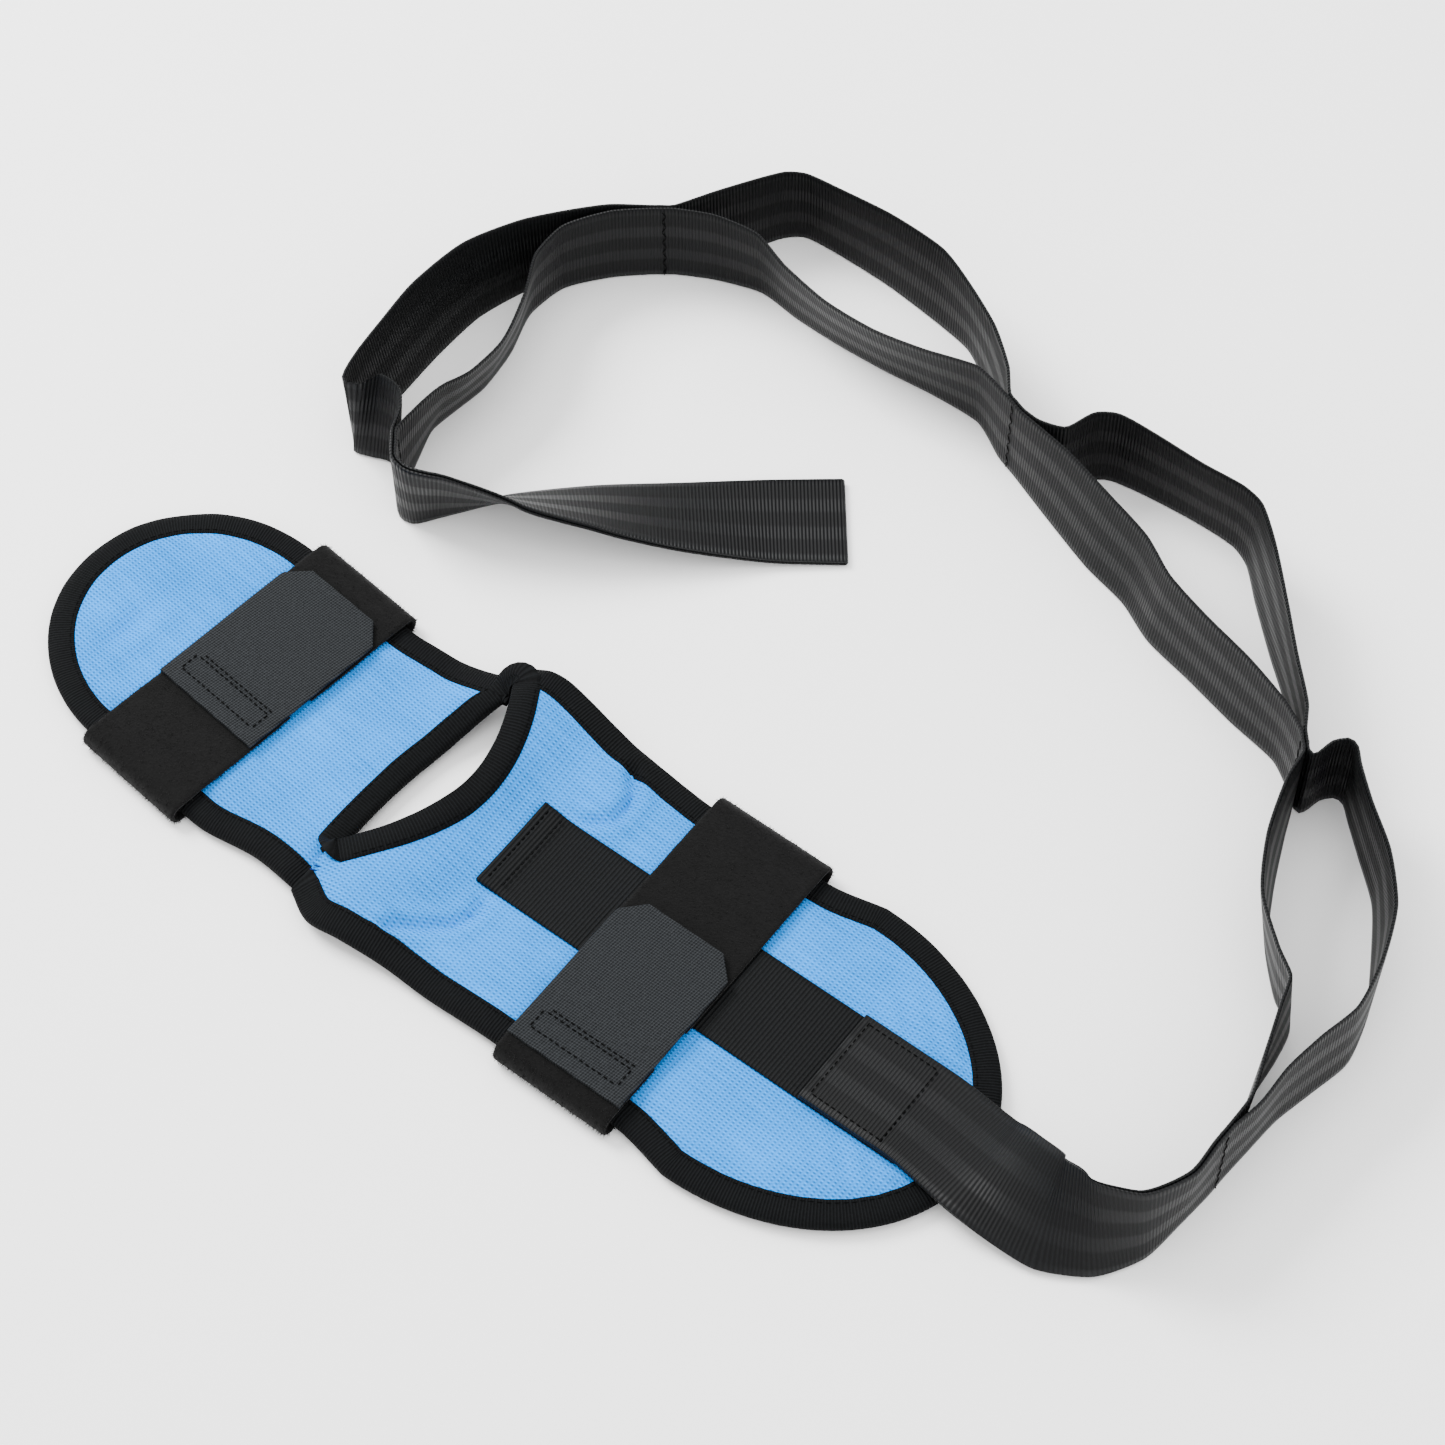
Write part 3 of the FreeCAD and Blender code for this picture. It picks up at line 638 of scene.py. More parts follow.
def pad_grid(name):
    """Rows of (s, t) over a lobe, from its heel end round to its closed end."""
    edges, heel = SHAPE[name][0], SHAPE[name][3]
    centre, length = (TOE[:2] if name == "sole" else CROWN[:2])
    away, start = (1, HEEL) if name == "sole" else (-1, SEAM)
    straight = int(abs(centre - start) / 2.0)
    columns = 62
    rows = []
    for k in range(straight):
        q = k / straight
        across = spread(*edges(start + (centre - start) * q), columns)
        rows.append([(heel(t) * (1 - q) + centre * q, t) for t in across])
    for k in range(45):
        turn = math.radians(88.5 * k / 44)
        s = centre + away * length * math.sin(turn)
        rows.append([(s, t) for t in spread(*edges(s), columns)])
    return rows


def slab(name, lobe, rows, low, high, material):
    """Closed slab between two height functions over rows of (s, t)."""
    width = len(rows[0])
    count = width * len(rows)
    points = [place(lobe, s, t, high(s, t)) for row in rows for s, t in row]
    points += [place(lobe, s, t, low(s, t)) for row in rows for s, t in row]
    uvs = [(s * MM, t * MM) for row in rows for s, t in row] * 2
    faces = []
    for r in range(len(rows) - 1):
        for c in range(width - 1):
            a = r * width + c
            quad = (a, a + 1, a + width + 1, a + width)
            faces.append(quad)
            faces.append(tuple(count + k for k in reversed(quad)))
    rim = list(range(width)) + [r * width + width - 1 for r in range(1, len(rows))]
    rim += [(len(rows) - 1) * width + c for c in range(width - 2, -1, -1)]
    rim += [r * width for r in range(len(rows) - 2, 0, -1)]
    for a, b in zip(rim, rim[1:] + rim[:1]):
        faces.append((a, b, count + b, count + a))
    return mesh_piece(name, points, faces, uvs, material, 50)


def make_pad(name):
    """Cover over foam, and the lining under it, for one lobe."""
    top, rise = SHAPE[name][1:3]
    lobe = LOBES[name]
    rows = pad_grid(name)

    def base(s, t):
        return PAD_BASE + rise(s, t)

    def lined(s, t):
        return PAD_BASE + LINING + rise(s, t)

    body = slab("%s_pad_cover" % name, lobe, rows, lined, top, finish("oxford_cover"))
    settle(body, name, ["%s_pad_face" % name, "%s_pad_foam" % name])
    coarse = [row[::2] for row in rows[::2] + rows[-1:]]
    under = slab("%s_pad_lining_cloth" % name, lobe, coarse, base, lined,
                 finish("knitted_lining"))
    settle(under, name, ["%s_pad_lining" % name])


def outer_line(name):
    """Places along a lobe's outer edge, from one side seam round to the other."""
    rows = pad_grid(name)
    return [row[0] for row in rows] + [row[-1] for row in reversed(rows)]


def even_line(line, step):
    """The same line with evenly spaced places."""
    spots, left = [line[0]], step
    for (s0, t0), (s1, t1) in zip(line, line[1:]):
        run = math.hypot(s1 - s0, t1 - t0)
        while run > 1e-9 and left <= run:
            u = left / run
            spots.append((s0 + (s1 - s0) * u, t0 + (t1 - t0) * u))
            left += step
        left -= run
    return spots + [line[-1]]


def inward(line, k, middle):
    """Unit direction from an edge line's place towards the pad's inside."""
    s0, t0 = line[max(0, k - 1)]
    s1, t1 = line[min(len(line) - 1, k + 1)]
    run = math.hypot(s1 - s0, t1 - t0)
    n = (-(t1 - t0) / run, (s1 - s0) / run)
    towards = (middle[0] - line[k][0]) * n[0] + (middle[1] - line[k][1]) * n[1]
    return n if towards > 0 else (-n[0], -n[1])


def tape_rings(name, line, middles, width, thick, ends=None):
    """Sections of tape folded over an edge of a lobe, and the places its stitching takes.
    ends gives the inward directions at the line's two ends, where it meets other tape."""
    lobe = LOBES[name]
    top, rise = SHAPE[name][1:3]
    rings, sewn = [], []
    for k, (s, t) in enumerate(line):
        n = inward(line, k, middles(s, t))
        if ends and k in (0, len(line) - 1):
            n = ends[0] if k == 0 else ends[1]

        def at(depth, z):
            return place(lobe, s + n[0] * depth, t + n[1] * depth, z)

        def face(depth):
            return top(s + n[0] * depth, t + n[1] * depth)

        def under(depth):
            return PAD_BASE + rise(s + n[0] * depth, t + n[1] * depth)

        steps = (1.0, 0.95, 0.8, 0.6, 0.4, 0.2, 0.0)
        lifts = (0.1, 0.9, 1.1, 1.15, 1.15, 1.05, 0.8)
        upper = [at(width * d, face(width * d) + thick * f) for d, f in zip(steps, lifts)]
        middle = (face(0) + under(0)) / 2
        half = (face(0) - under(0)) / 2
        turn = [at(-thick * 0.8, middle + 0.8 * half), at(-thick, middle),
                at(-thick * 0.8, middle - 0.8 * half)]
        lower = [at(width * d, under(width * d) - thick * f)
                 for d, f in zip(reversed(steps), reversed(lifts))]
        inside = [at(width * d, under(width * d) + 0.4) for d in (0.9, 0.7, 0.5, 0.3, 0.1)]
        inside += [at(0.3, middle - 0.3 * half), at(0.3, middle), at(0.3, middle + 0.3 * half)]
        inside += [at(width * d, face(width * d) - 0.4) for d in (0.1, 0.3, 0.5, 0.7, 0.9)]
        rings.append(upper + turn + lower + inside)
        sewn.append(at(width * 0.84, face(width * 0.84) + thick * 1.15))
    return rings, sewn


def turned_rings(before, after, pivot, ahead, lift, tuck=0.0, count=9):
    """Sections that carry a tape round the end of an opening, swinging about its pivot; tuck
    is the share by which they are drawn in half way round."""
    rings = []
    for k in range(1, count):
        q = k / count
        ring = []
        for a, b in zip(before, after):
            spins = []
            for p in (a, b):
                turn = math.atan2(p.y - pivot.y, p.x - pivot.x) - ahead
                spins.append(math.atan2(math.sin(turn), math.cos(turn)))
            reach = [math.hypot(p.x - pivot.x, p.y - pivot.y) for p in (a, b)]
            turn = ahead + spins[0] + (spins[1] - spins[0]) * q
            r = (reach[0] + (reach[1] - reach[0]) * q) * (1 - tuck * math.sin(math.pi * q))
            z = a.z + (b.z - a.z) * q + lift * math.sin(math.pi * q)
            ring.append(Vector((pivot.x + r * math.cos(turn), pivot.y + r * math.sin(turn), z)))
        rings.append(ring)
    return rings


def closed_tape(label, rings, nodes):
    """Tape skinned over rings that join up end to end."""
    count = len(rings[0])
    points = [p for ring in rings for p in ring]
    uvs = []
    travelled = 0.0
    for k, ring in enumerate(rings):
        if k:
            travelled += (ring[6] - rings[k - 1][6]).length
        across = 0.0
        for j, p in enumerate(ring):
            if j:
                across += (p - ring[j - 1]).length
            uvs.append((travelled, across))
    faces = []
    for r in range(len(rings)):
        n = (r + 1) % len(rings)
        for k in range(count):
            j = (k + 1) % count
            faces.append((r * count + k, r * count + j, n * count + j, n * count + k))
    piece = mesh_piece(label, points, faces, uvs, finish("grosgrain_binding"), 60)
    settle(piece, "ankle", nodes)


def sew_along(label, name, line):
    """Lock stitching along a tape."""
    pitch = bpy.context.scene.strap_sizes.stitch_pitch
    row = stitches(label, [stitch_spots(line, UP, pitch)], pitch * 0.72,
                   0.45 * MM, finish("black_thread"))
    settle(row, name, [])


def sew(label, runs, length, thick, body, node, thread="black_thread"):
    """Stitches that ride on a body and stand for a CAD node; thick is in millimetres."""
    sewn = stitches(label, runs, length, thick * MM, finish(thread))
    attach(sewn, body)
    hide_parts(node)


def tight_pitch():
    """Stitch pitch of the short rows that take a load."""
    return bpy.context.scene.strap_sizes.stitch_pitch * 0.9


def short_stitch():
    """Length of a stitch in those rows."""
    return bpy.context.scene.strap_sizes.stitch_pitch * 0.62


def box_runs(lobe, corners, z):
    """Stitch places on the straight runs between corners, given as (s, t)."""
    line = [place(lobe, s, t, z) for s, t in corners]
    return [stitch_spots([a, b], UP, tight_pitch()) for a, b in zip(line, line[1:])]


def lay(nodes):
    """Hide the CAD nodes that a length of tape stands for."""
    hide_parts(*nodes)


def make_outer_binding():
    """One tape bound round the outer edge of both lobes."""
    width = bpy.context.scene.strap_sizes.binding_width / MM
    rings = []
    for name, (ds, dt) in SEAM_RUN.items():
        spine = ((lambda s, t: (min(s, TOE[0]), 0.0)) if name == "sole"
                 else (lambda s, t: (max(s, CROWN[0]), 0.0)))
        line = even_line(outer_line(name), 2.0)
        ends = [(ds, dt), (-ds, -dt)]
        if name == "ankle":
            line.reverse()
            ends.reverse()
        lobe_rings, sewn = tape_rings(name, line, spine, width, BINDING_THICK, ends)
        rings += lobe_rings
        sew_along("%s_binding_stitches" % name, name, sewn[2:-2])
    closed_tape("outer_binding_tape", rings, ["sole_pad_binding", "ankle_pad_binding"])


def make_heel_rim():
    """One tape bound round the heel opening, turned tightly at both its ends."""
    width = bpy.context.scene.strap_sizes.rim_width / MM
    near, far = OPENING[0] + 0.5, OPENING[1] - 0.5
    sole_line = [(sole_heel(t), t) for t in spread(near, far, 55)]
    ankle_line = [(ankle_heel(t), t) for t in spread(far + 4.5, near + NECK, 55)]
    sole_rings, sole_sewn = tape_rings("sole", sole_line, lambda s, t: (s + 60, t), width,
                                       RIM_THICK)
    ankle_rings, ankle_sewn = tape_rings("ankle", ankle_line, lambda s, t: (s - 60, t),
                                         width - 1.5, RIM_THICK)
    far_pivot = place(SOLE, sole_heel(far) - 0.5, far + 0.5, 0)
    near_pivot = place(SOLE, sole_heel(near) - 0.5, near + 0.5, 0)
    away = math.radians(SOLE["turn"])
    rings = sole_rings
    rings += turned_rings(sole_rings[-1], ankle_rings[0], far_pivot, away + math.radians(105),
                          2.5 * MM)
    rings += ankle_rings
    rings += turned_rings(ankle_rings[-1], sole_rings[0], near_pivot, away - math.radians(120),
                          3.0 * MM, 0.3)
    closed_tape("heel_rim_tape", rings, ["sole_opening_rim", "ankle_opening_rim"])
    sew_along("sole_rim_stitches", "sole", sole_sewn[2:-2])
    sew_along("ankle_rim_stitches", "ankle", ankle_sewn[2:-2])


# ---------------------------------------------------------------- wrap straps
def strap_piece(label, lobe, path, sections, material, angle=50):
    """Tape laid along a path of (t, z, up_t, up_z); sections gives its section at each place."""
    rings, uv_rings = [], []
    travelled = 0.0
    for k, (t, z, nt, nz) in enumerate(path):
        if k:
            travelled += math.hypot(t - path[k - 1][0], z - path[k - 1][1])
        ring = sections(k, travelled)
        rings.append([place(lobe, a, t + nt * o, z + nz * o) for a, o in ring])
        uv_rings.append([(travelled * MM, a * MM) for a, o in ring])
    return ringed_piece(label, rings, uv_rings, material, angle), travelled


def wrap_path(name, side, end, step=1.6):
    """Run of a wrap strap from under the pad, round one edge and back over it to end."""
    turn = WAIST[name] + 1.0
    bottom, top = STRAP_LOW, FLAP[name] + STRAP_LOW
    radius = (top - bottom) / 2
    out = 1 if side == "far" else -1
    path = []
    count = int(turn / step)
    for k in range(count):
        path.append((out * turn * k / count, bottom, 0.0, -1.0))
    for k in range(13):
        a = math.pi * k / 12
        path.append((out * (turn + radius * math.sin(a)), bottom + radius - radius * math.cos(a),
                     out * math.sin(a), -math.cos(a)))
    count = int(abs(out * turn - end) / step)
    for k in range(1, count + 1):
        q = k / count
        sag = 0.25 * math.sin(math.pi * q * 2.2)
        path.append((out * turn + (end - out * turn) * q, top + sag, 0.0, 1.0))
    return path


def make_wrap_strap(name):
    """Two halves of the loop-tape strap that wraps one lobe."""
    sizes = bpy.context.scene.strap_sizes
    lobe = LOBES[name]
    width, thick = sizes.tape_width / MM, sizes.tape_thick / MM
    section = tape_section(width, thick, 34)
    ends = {"near": TAB[name][0] + 20.0, "far": FAR_FLAP_END[name]}
    for side, end in ends.items():
        path = wrap_path(name, side, end)

        def shape(k, travelled):
            puff = 1.0 + 0.12 * noise.noise(Vector((travelled / 6, 2.0, 0)))
            return [(a - width / 2, o * puff) for a, o in section]

        piece, length = strap_piece("%s_loop_strap_%s" % (name, side), lobe, path, shape,
                                    finish("brushed_loop_tape"))
        fuzz(piece, 0.12, 1.3)
        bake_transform(piece)
        nodes = ["%s_strap_%s_flap" % (name, side)]
        if side == "near":
            nodes.append("%s_strap_back" % name)
        lay(nodes)
        nap = tufts("%s_nap_%s" % (name, side), piece, NAP, finish("brushed_loop_tape"))
        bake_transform(nap)


def make_hook_tab(name):
    """Hook tab with cut corners, sewn down at one end with a box of stitches."""
    sizes = bpy.context.scene.strap_sizes
    lobe = LOBES[name]
    start, end = TAB[name]
    width, thick = sizes.tape_width / MM, sizes.tape_thick / MM
    base = FLAP[name] + 1.6
    count = 46
    path = []
    for k in range(count + 1):
        q = k / count
        t = start + (end - start) * q
        lift = 0.15 + 0.35 * step_up(q, 0.3, 0.6) + 0.35 * step_up(q, 0.9, 1.0)
        path.append((t, base + thick / 2 + lift, 0.0, 1.0))
    section = tape_section(width, thick, 30)

    def shape(k, travelled):
        cut = max(0.0, 8.0 - (end - start - travelled))
        scale = (width - 2 * cut) / width
        return [((a - width / 2) * scale, o) for a, o in section]

    piece, length = strap_piece("%s_hook_tab_tape" % name, lobe, path, shape,
                                finish("moulded_hook_tape"), 40)
    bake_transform(piece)
    lay(["%s_hook_tab" % name, "%s_hook_tab_sewn_end" % name])
    top = base + thick + 0.42
    low, high = start + 6.0, start + 14.0
    side = width / 2 - 5.5
    corners = [(-side, low), (side, low), (side, high), (-side, high), (-side, low)]
    runs = box_runs(lobe, corners, top)
    runs += box_runs(lobe, [(2 - side, high + 1.7), (side, high + 1.7)], top)
    sew("%s_tab_box_stitch" % name, runs, short_stitch(), 0.62, "%s_near_flap" % name,
        "%s_hook_stitching" % name)


# ---------------------------------------------------------------- webbing
LAYER = 0.75                        # middle of one webbing layer from the strap's middle
WEB_TOP = 7.9                       # face of the sole webbing
# Tacks: (x, y, heading) where cross stitching joins the pull strap's two layers
TACKS = {
    1: (189.0, -85.5, 50),
    2: (229.5, 72.0, 92),
    3: (132.0, 225.5, 122),
    4: (-3.5, 323.5, 180),
    5: (-104.5, 208.5, 270),
}
# Stations: (x, y) of the lower selvage, the lean to the left of the run in degrees, and the
# height of what it rests on
LEAD = [
    (46.6, -55.9, 90, WEB_TOP), (64.0, -69.3, 90, WEB_TOP), (78.3, -80.3, 90, WEB_TOP),
    (97, -99.5, 82, WEB_TOP), (110, -108.5, 66, 3.5), (126, -117.5, 53, 0.5),
    (146, -119.5, 30, 0), (163, -112.5, 9, 0), (176, -99.5, -2, 0),
]
LEGS = {
    "loop_1_inner_leg": (1, 2, 1, [
        (198, -70.5, -3), (205.5, -52, -2), (215, -37.5, 4), (221, -25, 6), (217.5, -12, 6),
        (216, 9, 9), (220, 32, 9), (226, 55, 5)]),
    "loop_1_outer_leg": (1, 2, -1, [
        (200.5, -72.5, -2), (212, -60, 0), (225.5, -49, 2), (239, -37.5, 2), (248, -18, 0),
        (252, 4, -4), (254.5, 26, 0), (251.5, 46, 2), (249, 62, 2), (248, 69, 1),
        (245.5, 71.5, 0), (240, 70.5, 0), (235, 66.5, 0), (232, 64.8, 0)]),
    "loop_2_inner_leg": (2, 3, 1, [
        (225, 89, 1), (210.5, 106, -4), (196, 125, -4), (182, 142.5, -7), (173.5, 160, -9),
        (160.5, 177, -11), (147, 199.5, -8)]),
    "loop_2_outer_leg": (2, 3, -1, [
        (233, 88, 3), (231, 110, 3), (226.5, 135, -1), (223, 159, -3), (221, 177, -1),
        (216.5, 186, 2), (203, 197.5, 4), (184, 210.5, 1), (171, 217.5, -2), (163, 217.5, -3),
        (151, 212.5, 0), (140.5, 216, 0)]),
    "loop_3_inner_leg": (3, 4, 1, [
        (122, 247, 7), (104.5, 261, 15), (86, 273, 18), (68, 286, 17), (51, 300, 12),
        (37, 313.5, 6), (18, 320.5, 1)]),
    "loop_3_outer_leg": (3, 4, -1, [
        (128, 243, -2), (125, 263, 0), (118, 283, 2), (104, 299, -5), (86, 317, -3),
        (66, 333.5, 1), (54, 341.5, 2), (45, 341, 0), (21, 330, -3)]),
    "loop_4_inner_leg": (4, 5, 1, [
        (-24.5, 322, 0), (-44.5, 316, 3), (-58, 302, 7), (-65.5, 281.5, 12), (-75.5, 264, 18),
        (-86.5, 252.5, 20), (-95, 243, 17), (-99.5, 230, 9)]),
    "loop_4_outer_leg": (4, 5, -1, [
        (-24.5, 324, 0), (-40, 320.5, -1), (-58, 313.5, -4), (-77, 299.5, -10),
        (-93, 279.5, -13), (-105.5, 261, -11), (-116, 246, -8), (-122.5, 236, -3),
        (-123, 232.5, 8), (-118, 230.5, 18), (-109.5, 228, 13), (-105.3, 222, 5)]),
}
END_LOOP = [
    (-103, 200, -2), (-98.5, 198, -6), (-89, 201, -16), (-62.5, 209, -42), (-29, 213.5, -61),
    (5, 215, -76), (37, 216.5, -87), (66.5, 217, -90)]


def heading_of(number):
    """Direction in which the strap runs through a tack."""
    turn = math.radians(TACKS[number][2])
    return Vector((math.cos(turn), math.sin(turn), 0))


def tack_place(number, along=0.0):
    """Station on a tack, moved along the strap's heading."""
    ahead = heading_of(number) * along
    return (TACKS[number][0] + ahead.x, TACKS[number][1] + ahead.y, 0.0, 0.0)


def sampled(stations, step=2.5):
    """Closely spaced stations on a smooth line through the given ones, with their headings."""
    stations = [tuple(s) + (0.0,) * (4 - len(s)) for s in stations]
    places = [0.0]
    for a, b in zip(stations, stations[1:]):
        places.append(places[-1] + math.hypot(b[0] - a[0], b[1] - a[1]))
    tracks = [[(p, s[axis]) for p, s in zip(places, stations)] for axis in range(4)]
    count = max(8, int(places[-1] / step))
    line = []
    for k in range(count + 1):
        p = places[-1] * k / count
        reach = max(0.3, min(9.0, p, places[-1] - p))
        before, after = max(0.0, p - reach), min(places[-1], p + reach)
        ahead = Vector([curve_at(track, after, 0.7) - curve_at(track, before, 0.7)
                        for track in tracks[:2]] + [0])
        line.append(([curve_at(track, p, 0.7) for track in tracks], ahead.normalized()))
    return line


def webbing_frames(stations, side, doubled=False):
    """Lower selvage, ruling and normal of the webbing at each sampled station."""
    half = bpy.context.scene.strap_sizes.web_thick / MM / 2
    frames = []
    for (x, y, lean, rest), ahead in sampled(stations):
        phi = math.radians(lean)
        left = Vector((-ahead.y, ahead.x, 0))
        ruling = left * math.sin(phi) + UP * math.cos(phi)
        normal = left * math.cos(phi) - UP * math.sin(phi)
        lift = half * abs(math.sin(phi))
        lift += LAYER * abs(math.sin(phi)) if doubled else side * LAYER * math.sin(phi)
        low = Vector((x, y, max(0.0, rest) + lift)) + normal * (side * LAYER)
        frames.append((low, ruling, normal))
    return frames


def webbing_piece(label, frames):
    """Piece of webbing skinned through its frames; returns it and its length in metres."""
    sizes = bpy.context.scene.strap_sizes
    section = tape_section(sizes.web_width / MM, sizes.web_thick / MM, 13)
    rings, uv_rings = [], []
    travelled = 0.0
    for k, (low, ruling, normal) in enumerate(frames):
        if k:
            before = frames[k - 1]
            travelled += ((low - before[0]) + (ruling - before[1]) * 20).length
        rings.append([(low + ruling * a + normal * o) * MM for a, o in section])
        uv_rings.append([(travelled * MM, a * MM) for a, o in section])
    piece = ringed_piece(label, rings, uv_rings, finish("striped_webbing"), 50)
    return piece, travelled * MM


def leg_stations(start, end, stations):
    """A leg's stations with straight stubs at its tacks."""
    run = list(stations)
    if start:
        run = [tack_place(start), tack_place(start, 4.5)] + run
    if end:
        run += [tack_place(end, -4.5), tack_place(end)]
    return run


LONG_STITCH = 3.4 * MM              # a stitch of the tacks and of the side seams
BODY_BEFORE = {1: "sole_pad", 2: "loop_1", 3: "loop_2", 4: "loop_3", 5: "loop_4"}


def bend_at_tack(piece):
    """Bake the transform of a piece that starts at a tack into its points."""
    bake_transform(piece)


def make_sole_webbing():
    """Ribbed webbing sewn along the sole pad, its heel end turned under."""
    sizes = bpy.context.scene.strap_sizes
    start, end, near, far = WEB
    thick = sizes.web_thick / MM
    section = tape_section(sizes.web_width / MM, thick, 17)
    rings, uv_rings = [], []
    count = 93
    for k in range(count + 1):
        s = start + (end - start) * k / count
        fold = 1 - step_up(s, start + 7, start + 9)
        ring, row = [], []
        for a, o in section:
            t = near + a
            z = max(sole_top(s, t), PAD_TOP - 0.5) + 0.1 + thick / 2
            z += o + (0.9 * fold if o > 0 else 0.0)
            ring.append(place(SOLE, s, t, z))
            row.append((s * MM, a * MM))
        rings.append(ring)
        uv_rings.append(row)
    piece = ringed_piece("sole_webbing_strap", rings, uv_rings, finish("sole_webbing_rib"), 50)
    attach(piece, "sole_pad")
    lay(["sole_webbing"])
    runs = []
    for s in (start + 3, start + 9.5):
        line = [place(SOLE, s, t, sole_top(s, t) + thick + 1.1) for t in range(-13, 22, 2)]
        runs.append(stitch_spots(line, UP, tight_pitch()))
    sew("sole_webbing_end_stitch", runs, short_stitch(), 0.55, "sole_pad",
        "sole_webbing_stitching")


def make_lead():
    """The pull strap's sewn root: two layers from the sole webbing to the first tack."""
    for label, side in (("upper", -1), ("lower", 1)):
        frames = webbing_frames(leg_stations(None, 1, LEAD), side, True)
        piece, length = webbing_piece("lead_%s_webbing" % label, frames)
        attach(piece, "sole_pad")
        lay(["lead_%s_layer" % label])
    corners = [(74, -13), (74, 21), (104, 21), (104, -13), (74, -13)]
    sew("lead_box_stitch", box_runs(SOLE, corners, WEB_TOP + 3.1), short_stitch(), 0.55,
        "sole_pad", "lead_stitching")


def make_loops():
    """The eight legs of the four hand loops."""
    for label, (start, end, side, stations) in LEGS.items():
        frames = webbing_frames(leg_stations(start, end, stations), side)
        piece, length = webbing_piece("%s_webbing" % label, frames)
        bend_at_tack(piece)
        lay([label])


def make_end_loop():
    """The last loop: one webbing out to the fold at its tip and back on itself."""
    stations = leg_stations(5, None, END_LOOP)
    out = webbing_frames(stations, -1, True)
    back = webbing_frames(stations, 1, True)
    low, ruling, normal = out[-1]
    middle = low + normal * LAYER
    ahead = Vector((1, 0, 0))
    fold = []
    for k in range(1, 8):
        a = math.pi * k / 8
        towards = normal * math.cos(a) - ahead * math.sin(a)
        fold.append((middle - towards * LAYER, ruling, towards))
    home = [(p, r, -n) for p, r, n in reversed(back)]
    piece, length = webbing_piece("end_loop_webbing", out + fold + home)
    bend_at_tack(piece)
    lay(["end_loop_upper_layer", "end_loop_lower_layer", "end_loop_fold"])


def make_tacks():
    """Cross stitching at each tack, on both faces of the strap, with its cut tails."""
    for number in TACKS:
        spot = Vector(tack_place(number)[:3])
        ahead = heading_of(number)
        left = Vector((-ahead.y, ahead.x, 0))
        runs = []
        for face in (-1, 1):
            off = left * face * 1.62
            for k in range(12):
                height = Vector((0, 0, 3.0 + 3.1 * k))
                slant = UP + ahead * (0.55 if k % 2 else -0.55)
                runs.append([((spot - ahead * 0.5 + off + height) * MM, slant, left * face)])
            tail = spot - ahead * 0.6 + off + Vector((0, 0, 1.6))
            runs.append([(tail * MM, UP - ahead * 0.3, left * face)])
        sew("tack_%d_cross_stitch" % number, runs, LONG_STITCH, 0.5, BODY_BEFORE[number],
            "tack_%d_stitching" % number)


def make_side_seams():
    """Overcast stitches across the two side seams, in blue thread."""
    runs = []
    for across in (-50.5, -48.6, -46.9):
        s = seam_in_sole(across) + 1.6
        spot = place(SOLE, s, across, sole_top(s, across) + 0.35)
        ahead = place(SOLE, s + 1, across + 0.4, 0) - place(SOLE, s, across, 0)
        runs.append([(spot, ahead, UP)])
    sew("side_seam_overcast", runs, LONG_STITCH, 0.6, "sole_pad", "side_seam_stitching",
        "blue_thread")


# ---------------------------------------------------------------- stage
# Lamps: (name, place in metres, size in metres, power in watts)
LAMPS = [
    ("key_light", (-1.1, 1.0, 1.4), 0.9, 75),
    ("fill_light", (1.2, -0.9, 1.5), 1.4, 12),
    ("top_light", (0.1, 0.3, 2.2), 1.6, 25),
]
# The camera looks at target from that distance, so many degrees above the floor
VIEW = {"target": (0.0203, 0.1052, 0.0), "distance": 1.366, "rise": 56.77, "lens": 91.23}


def make_stage():
    """Pale floor, soft studio light and the camera."""
    bpy.ops.object.select_all(action="DESELECT")
    bpy.ops.mesh.primitive_plane_add(size=12, location=(0, 0, -0.0004))
    floor = bpy.context.object
    floor.name = "studio_floor"
    paper = bpy.data.materials.new("matt_paper")
    paper.use_nodes = True
    shader = paper.node_tree.nodes["Principled BSDF"]
    shader.inputs["Base Color"].default_value = (*linear("#fbfbfb"), 1)
    shader.inputs["Roughness"].default_value = 0.9
    shader.inputs["Specular IOR Level"].default_value = 0.1
    floor.data.materials.append(paper)
    world = bpy.data.worlds.new("studio")
    world.use_nodes = True
    sky = world.node_tree.nodes["Background"]
    sky.inputs["Color"].default_value = (1, 1, 1, 1)
    sky.inputs["Strength"].default_value = 1.75
    bpy.context.scene.world = world
    for name, spot, size, power in LAMPS:
        data = bpy.data.lights.new(name, "AREA")
        data.size = size
        data.energy = power
        lamp = bpy.data.objects.new(name, data)
        lamp.location = spot
        aim = Vector((0.02, 0.1, 0)) - Vector(spot)
        lamp.rotation_euler = aim.to_track_quat("-Z", "Y").to_euler()
        bpy.context.scene.collection.objects.link(lamp)
    data = bpy.data.cameras.new("viewpoint")
    data.sensor_width = 36.0
    data.lens = VIEW["lens"]
    camera = bpy.data.objects.new("viewpoint", data)
    rise = math.radians(VIEW["rise"])
    back = Vector((0, -math.cos(rise), math.sin(rise)))
    camera.location = Vector(VIEW["target"]) + back * VIEW["distance"]
    camera.rotation_euler = (-back).to_track_quat("-Z", "Y").to_euler()
    bpy.context.scene.collection.objects.link(camera)
    bpy.context.scene.camera = camera


# ---------------------------------------------------------------- operators and panel
class STRAP_OT_stage(bpy.types.Operator):
    """Set out the floor, lights and camera"""
    bl_idname = "strap.stage"
    bl_label = "Stage"

    def execute(self, context):
        make_stage()
        return {"FINISHED"}


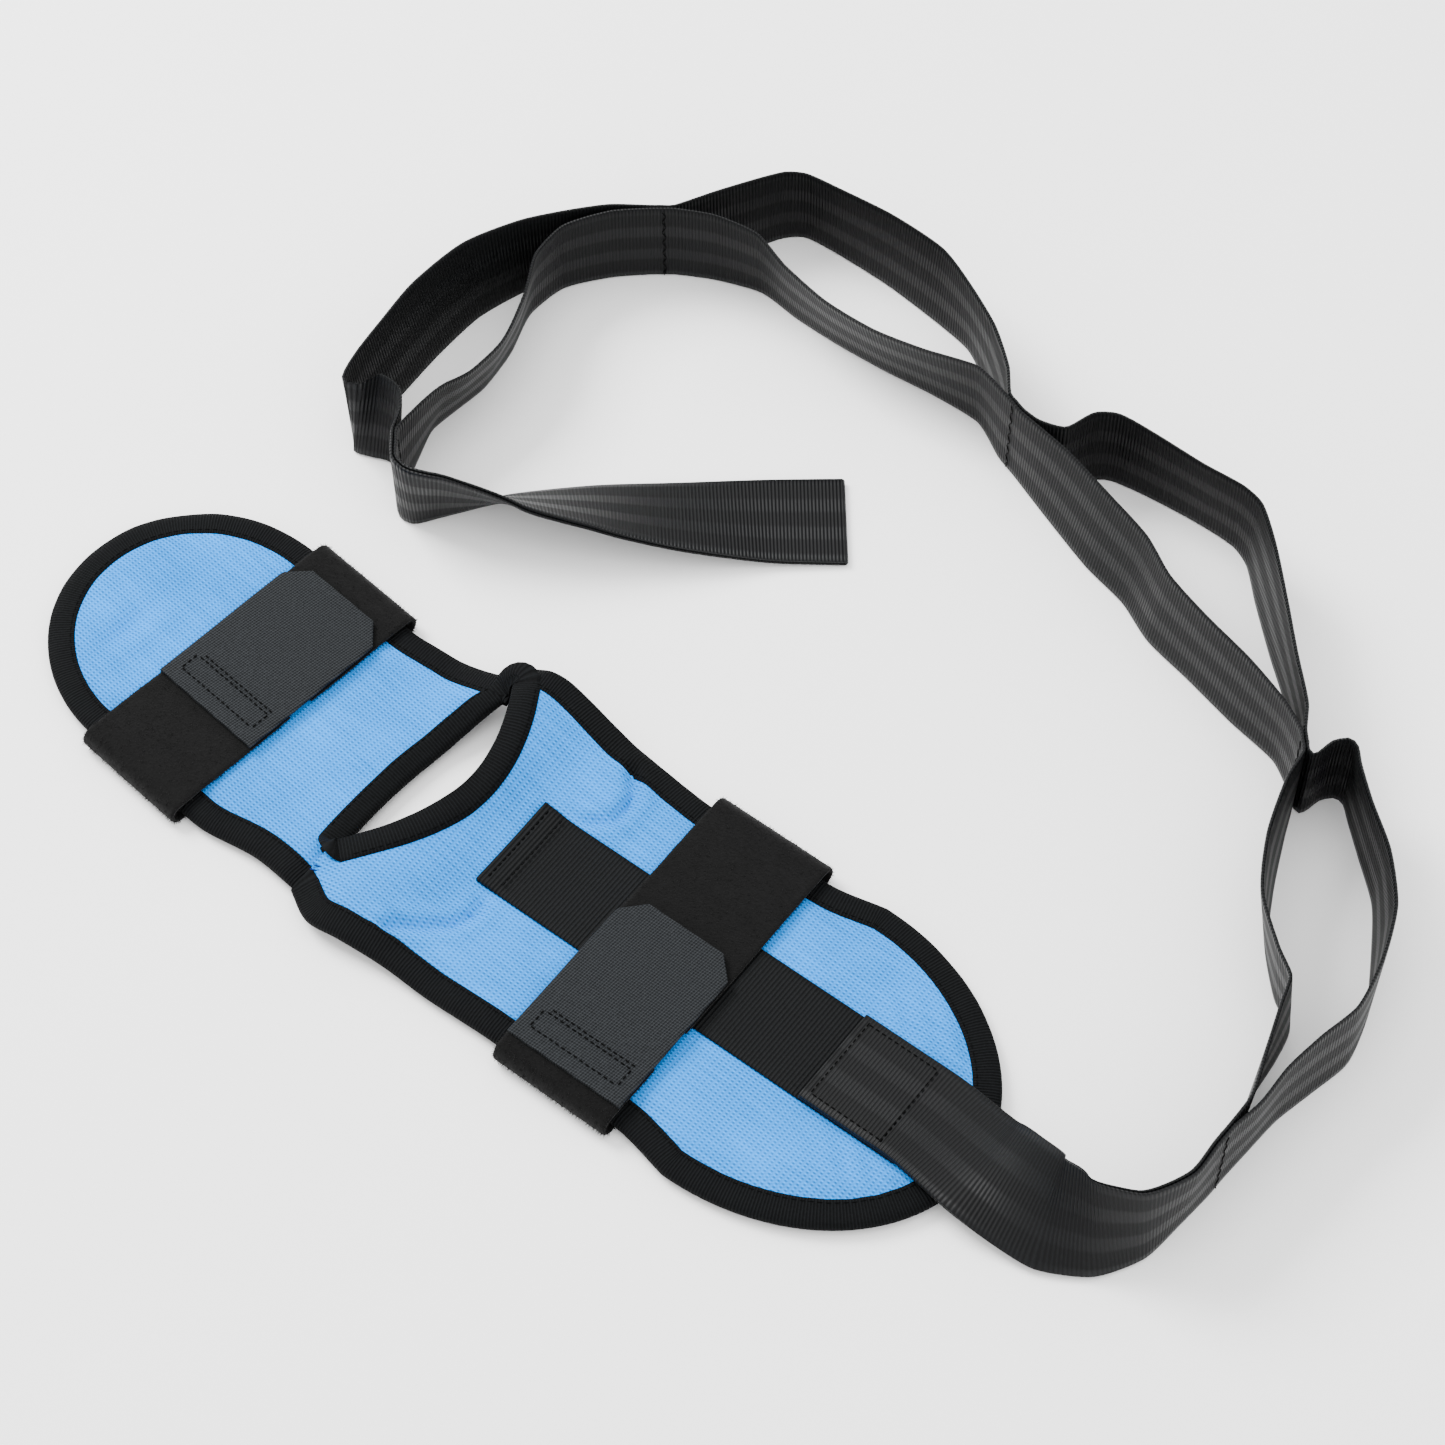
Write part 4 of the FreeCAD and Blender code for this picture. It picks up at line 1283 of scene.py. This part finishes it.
class STRAP_OT_pads(bpy.types.Operator):
    """Make the sole and ankle pads"""
    bl_idname = "strap.pads"
    bl_label = "Pads"

    def execute(self, context):
        for name in LOBES:
            make_pad(name)
        return {"FINISHED"}


class STRAP_OT_bindings(bpy.types.Operator):
    """Bind the pads' edges and the heel opening"""
    bl_idname = "strap.bindings"
    bl_label = "Bindings"

    def execute(self, context):
        make_outer_binding()
        make_heel_rim()
        make_side_seams()
        return {"FINISHED"}


class STRAP_OT_wrap_straps(bpy.types.Operator):
    """Make the two loop-tape wrap straps"""
    bl_idname = "strap.wrap_straps"
    bl_label = "Wrap straps"

    def execute(self, context):
        for name in LOBES:
            make_wrap_strap(name)
        return {"FINISHED"}


class STRAP_OT_hook_tabs(bpy.types.Operator):
    """Make the two hook tabs"""
    bl_idname = "strap.hook_tabs"
    bl_label = "Hook tabs"

    def execute(self, context):
        for name in LOBES:
            make_hook_tab(name)
        return {"FINISHED"}


class STRAP_OT_sole_webbing(bpy.types.Operator):
    """Sew the ribbed webbing along the sole pad"""
    bl_idname = "strap.sole_webbing"
    bl_label = "Sole webbing"

    def execute(self, context):
        make_sole_webbing()
        return {"FINISHED"}


class STRAP_OT_pull_strap(bpy.types.Operator):
    """Make the pull strap's lead, hand loops, end loop and tacks"""
    bl_idname = "strap.pull_strap"
    bl_label = "Pull strap"

    def execute(self, context):
        make_lead()
        make_loops()
        make_end_loop()
        make_tacks()
        return {"FINISHED"}


STEPS = (STRAP_OT_stage, STRAP_OT_pads, STRAP_OT_bindings, STRAP_OT_wrap_straps,
         STRAP_OT_hook_tabs, STRAP_OT_sole_webbing, STRAP_OT_pull_strap)


class STRAP_PT_panel(bpy.types.Panel):
    """Sizes, colours and the pieces in their order of making"""
    bl_idname = "STRAP_PT_panel"
    bl_label = "Stretching strap"
    bl_space_type = "VIEW_3D"
    bl_region_type = "UI"
    bl_category = "Strap"

    def draw(self, context):
        for group in (context.scene.strap_sizes, context.scene.strap_colours):
            for name in group.__annotations__:
                self.layout.prop(group, name)
        for step in STEPS:
            self.layout.operator(step.bl_idname)


CLASSES = (StrapSizes, StrapColours) + STEPS + (STRAP_PT_panel,)


def register():
    for cls in CLASSES:
        bpy.utils.register_class(cls)
    bpy.types.Scene.strap_sizes = PointerProperty(type=StrapSizes)
    bpy.types.Scene.strap_colours = PointerProperty(type=StrapColours)


def unregister():
    del bpy.types.Scene.strap_colours
    del bpy.types.Scene.strap_sizes
    for cls in reversed(CLASSES):
        bpy.utils.unregister_class(cls)


def main():
    """Register and build every piece in order."""
    register()
    bpy.ops.strap.stage()
    bpy.ops.strap.pads()
    bpy.ops.strap.bindings()
    bpy.ops.strap.wrap_straps()
    bpy.ops.strap.hook_tabs()
    bpy.ops.strap.sole_webbing()
    bpy.ops.strap.pull_strap()


if __name__ == "__main__":
    main()
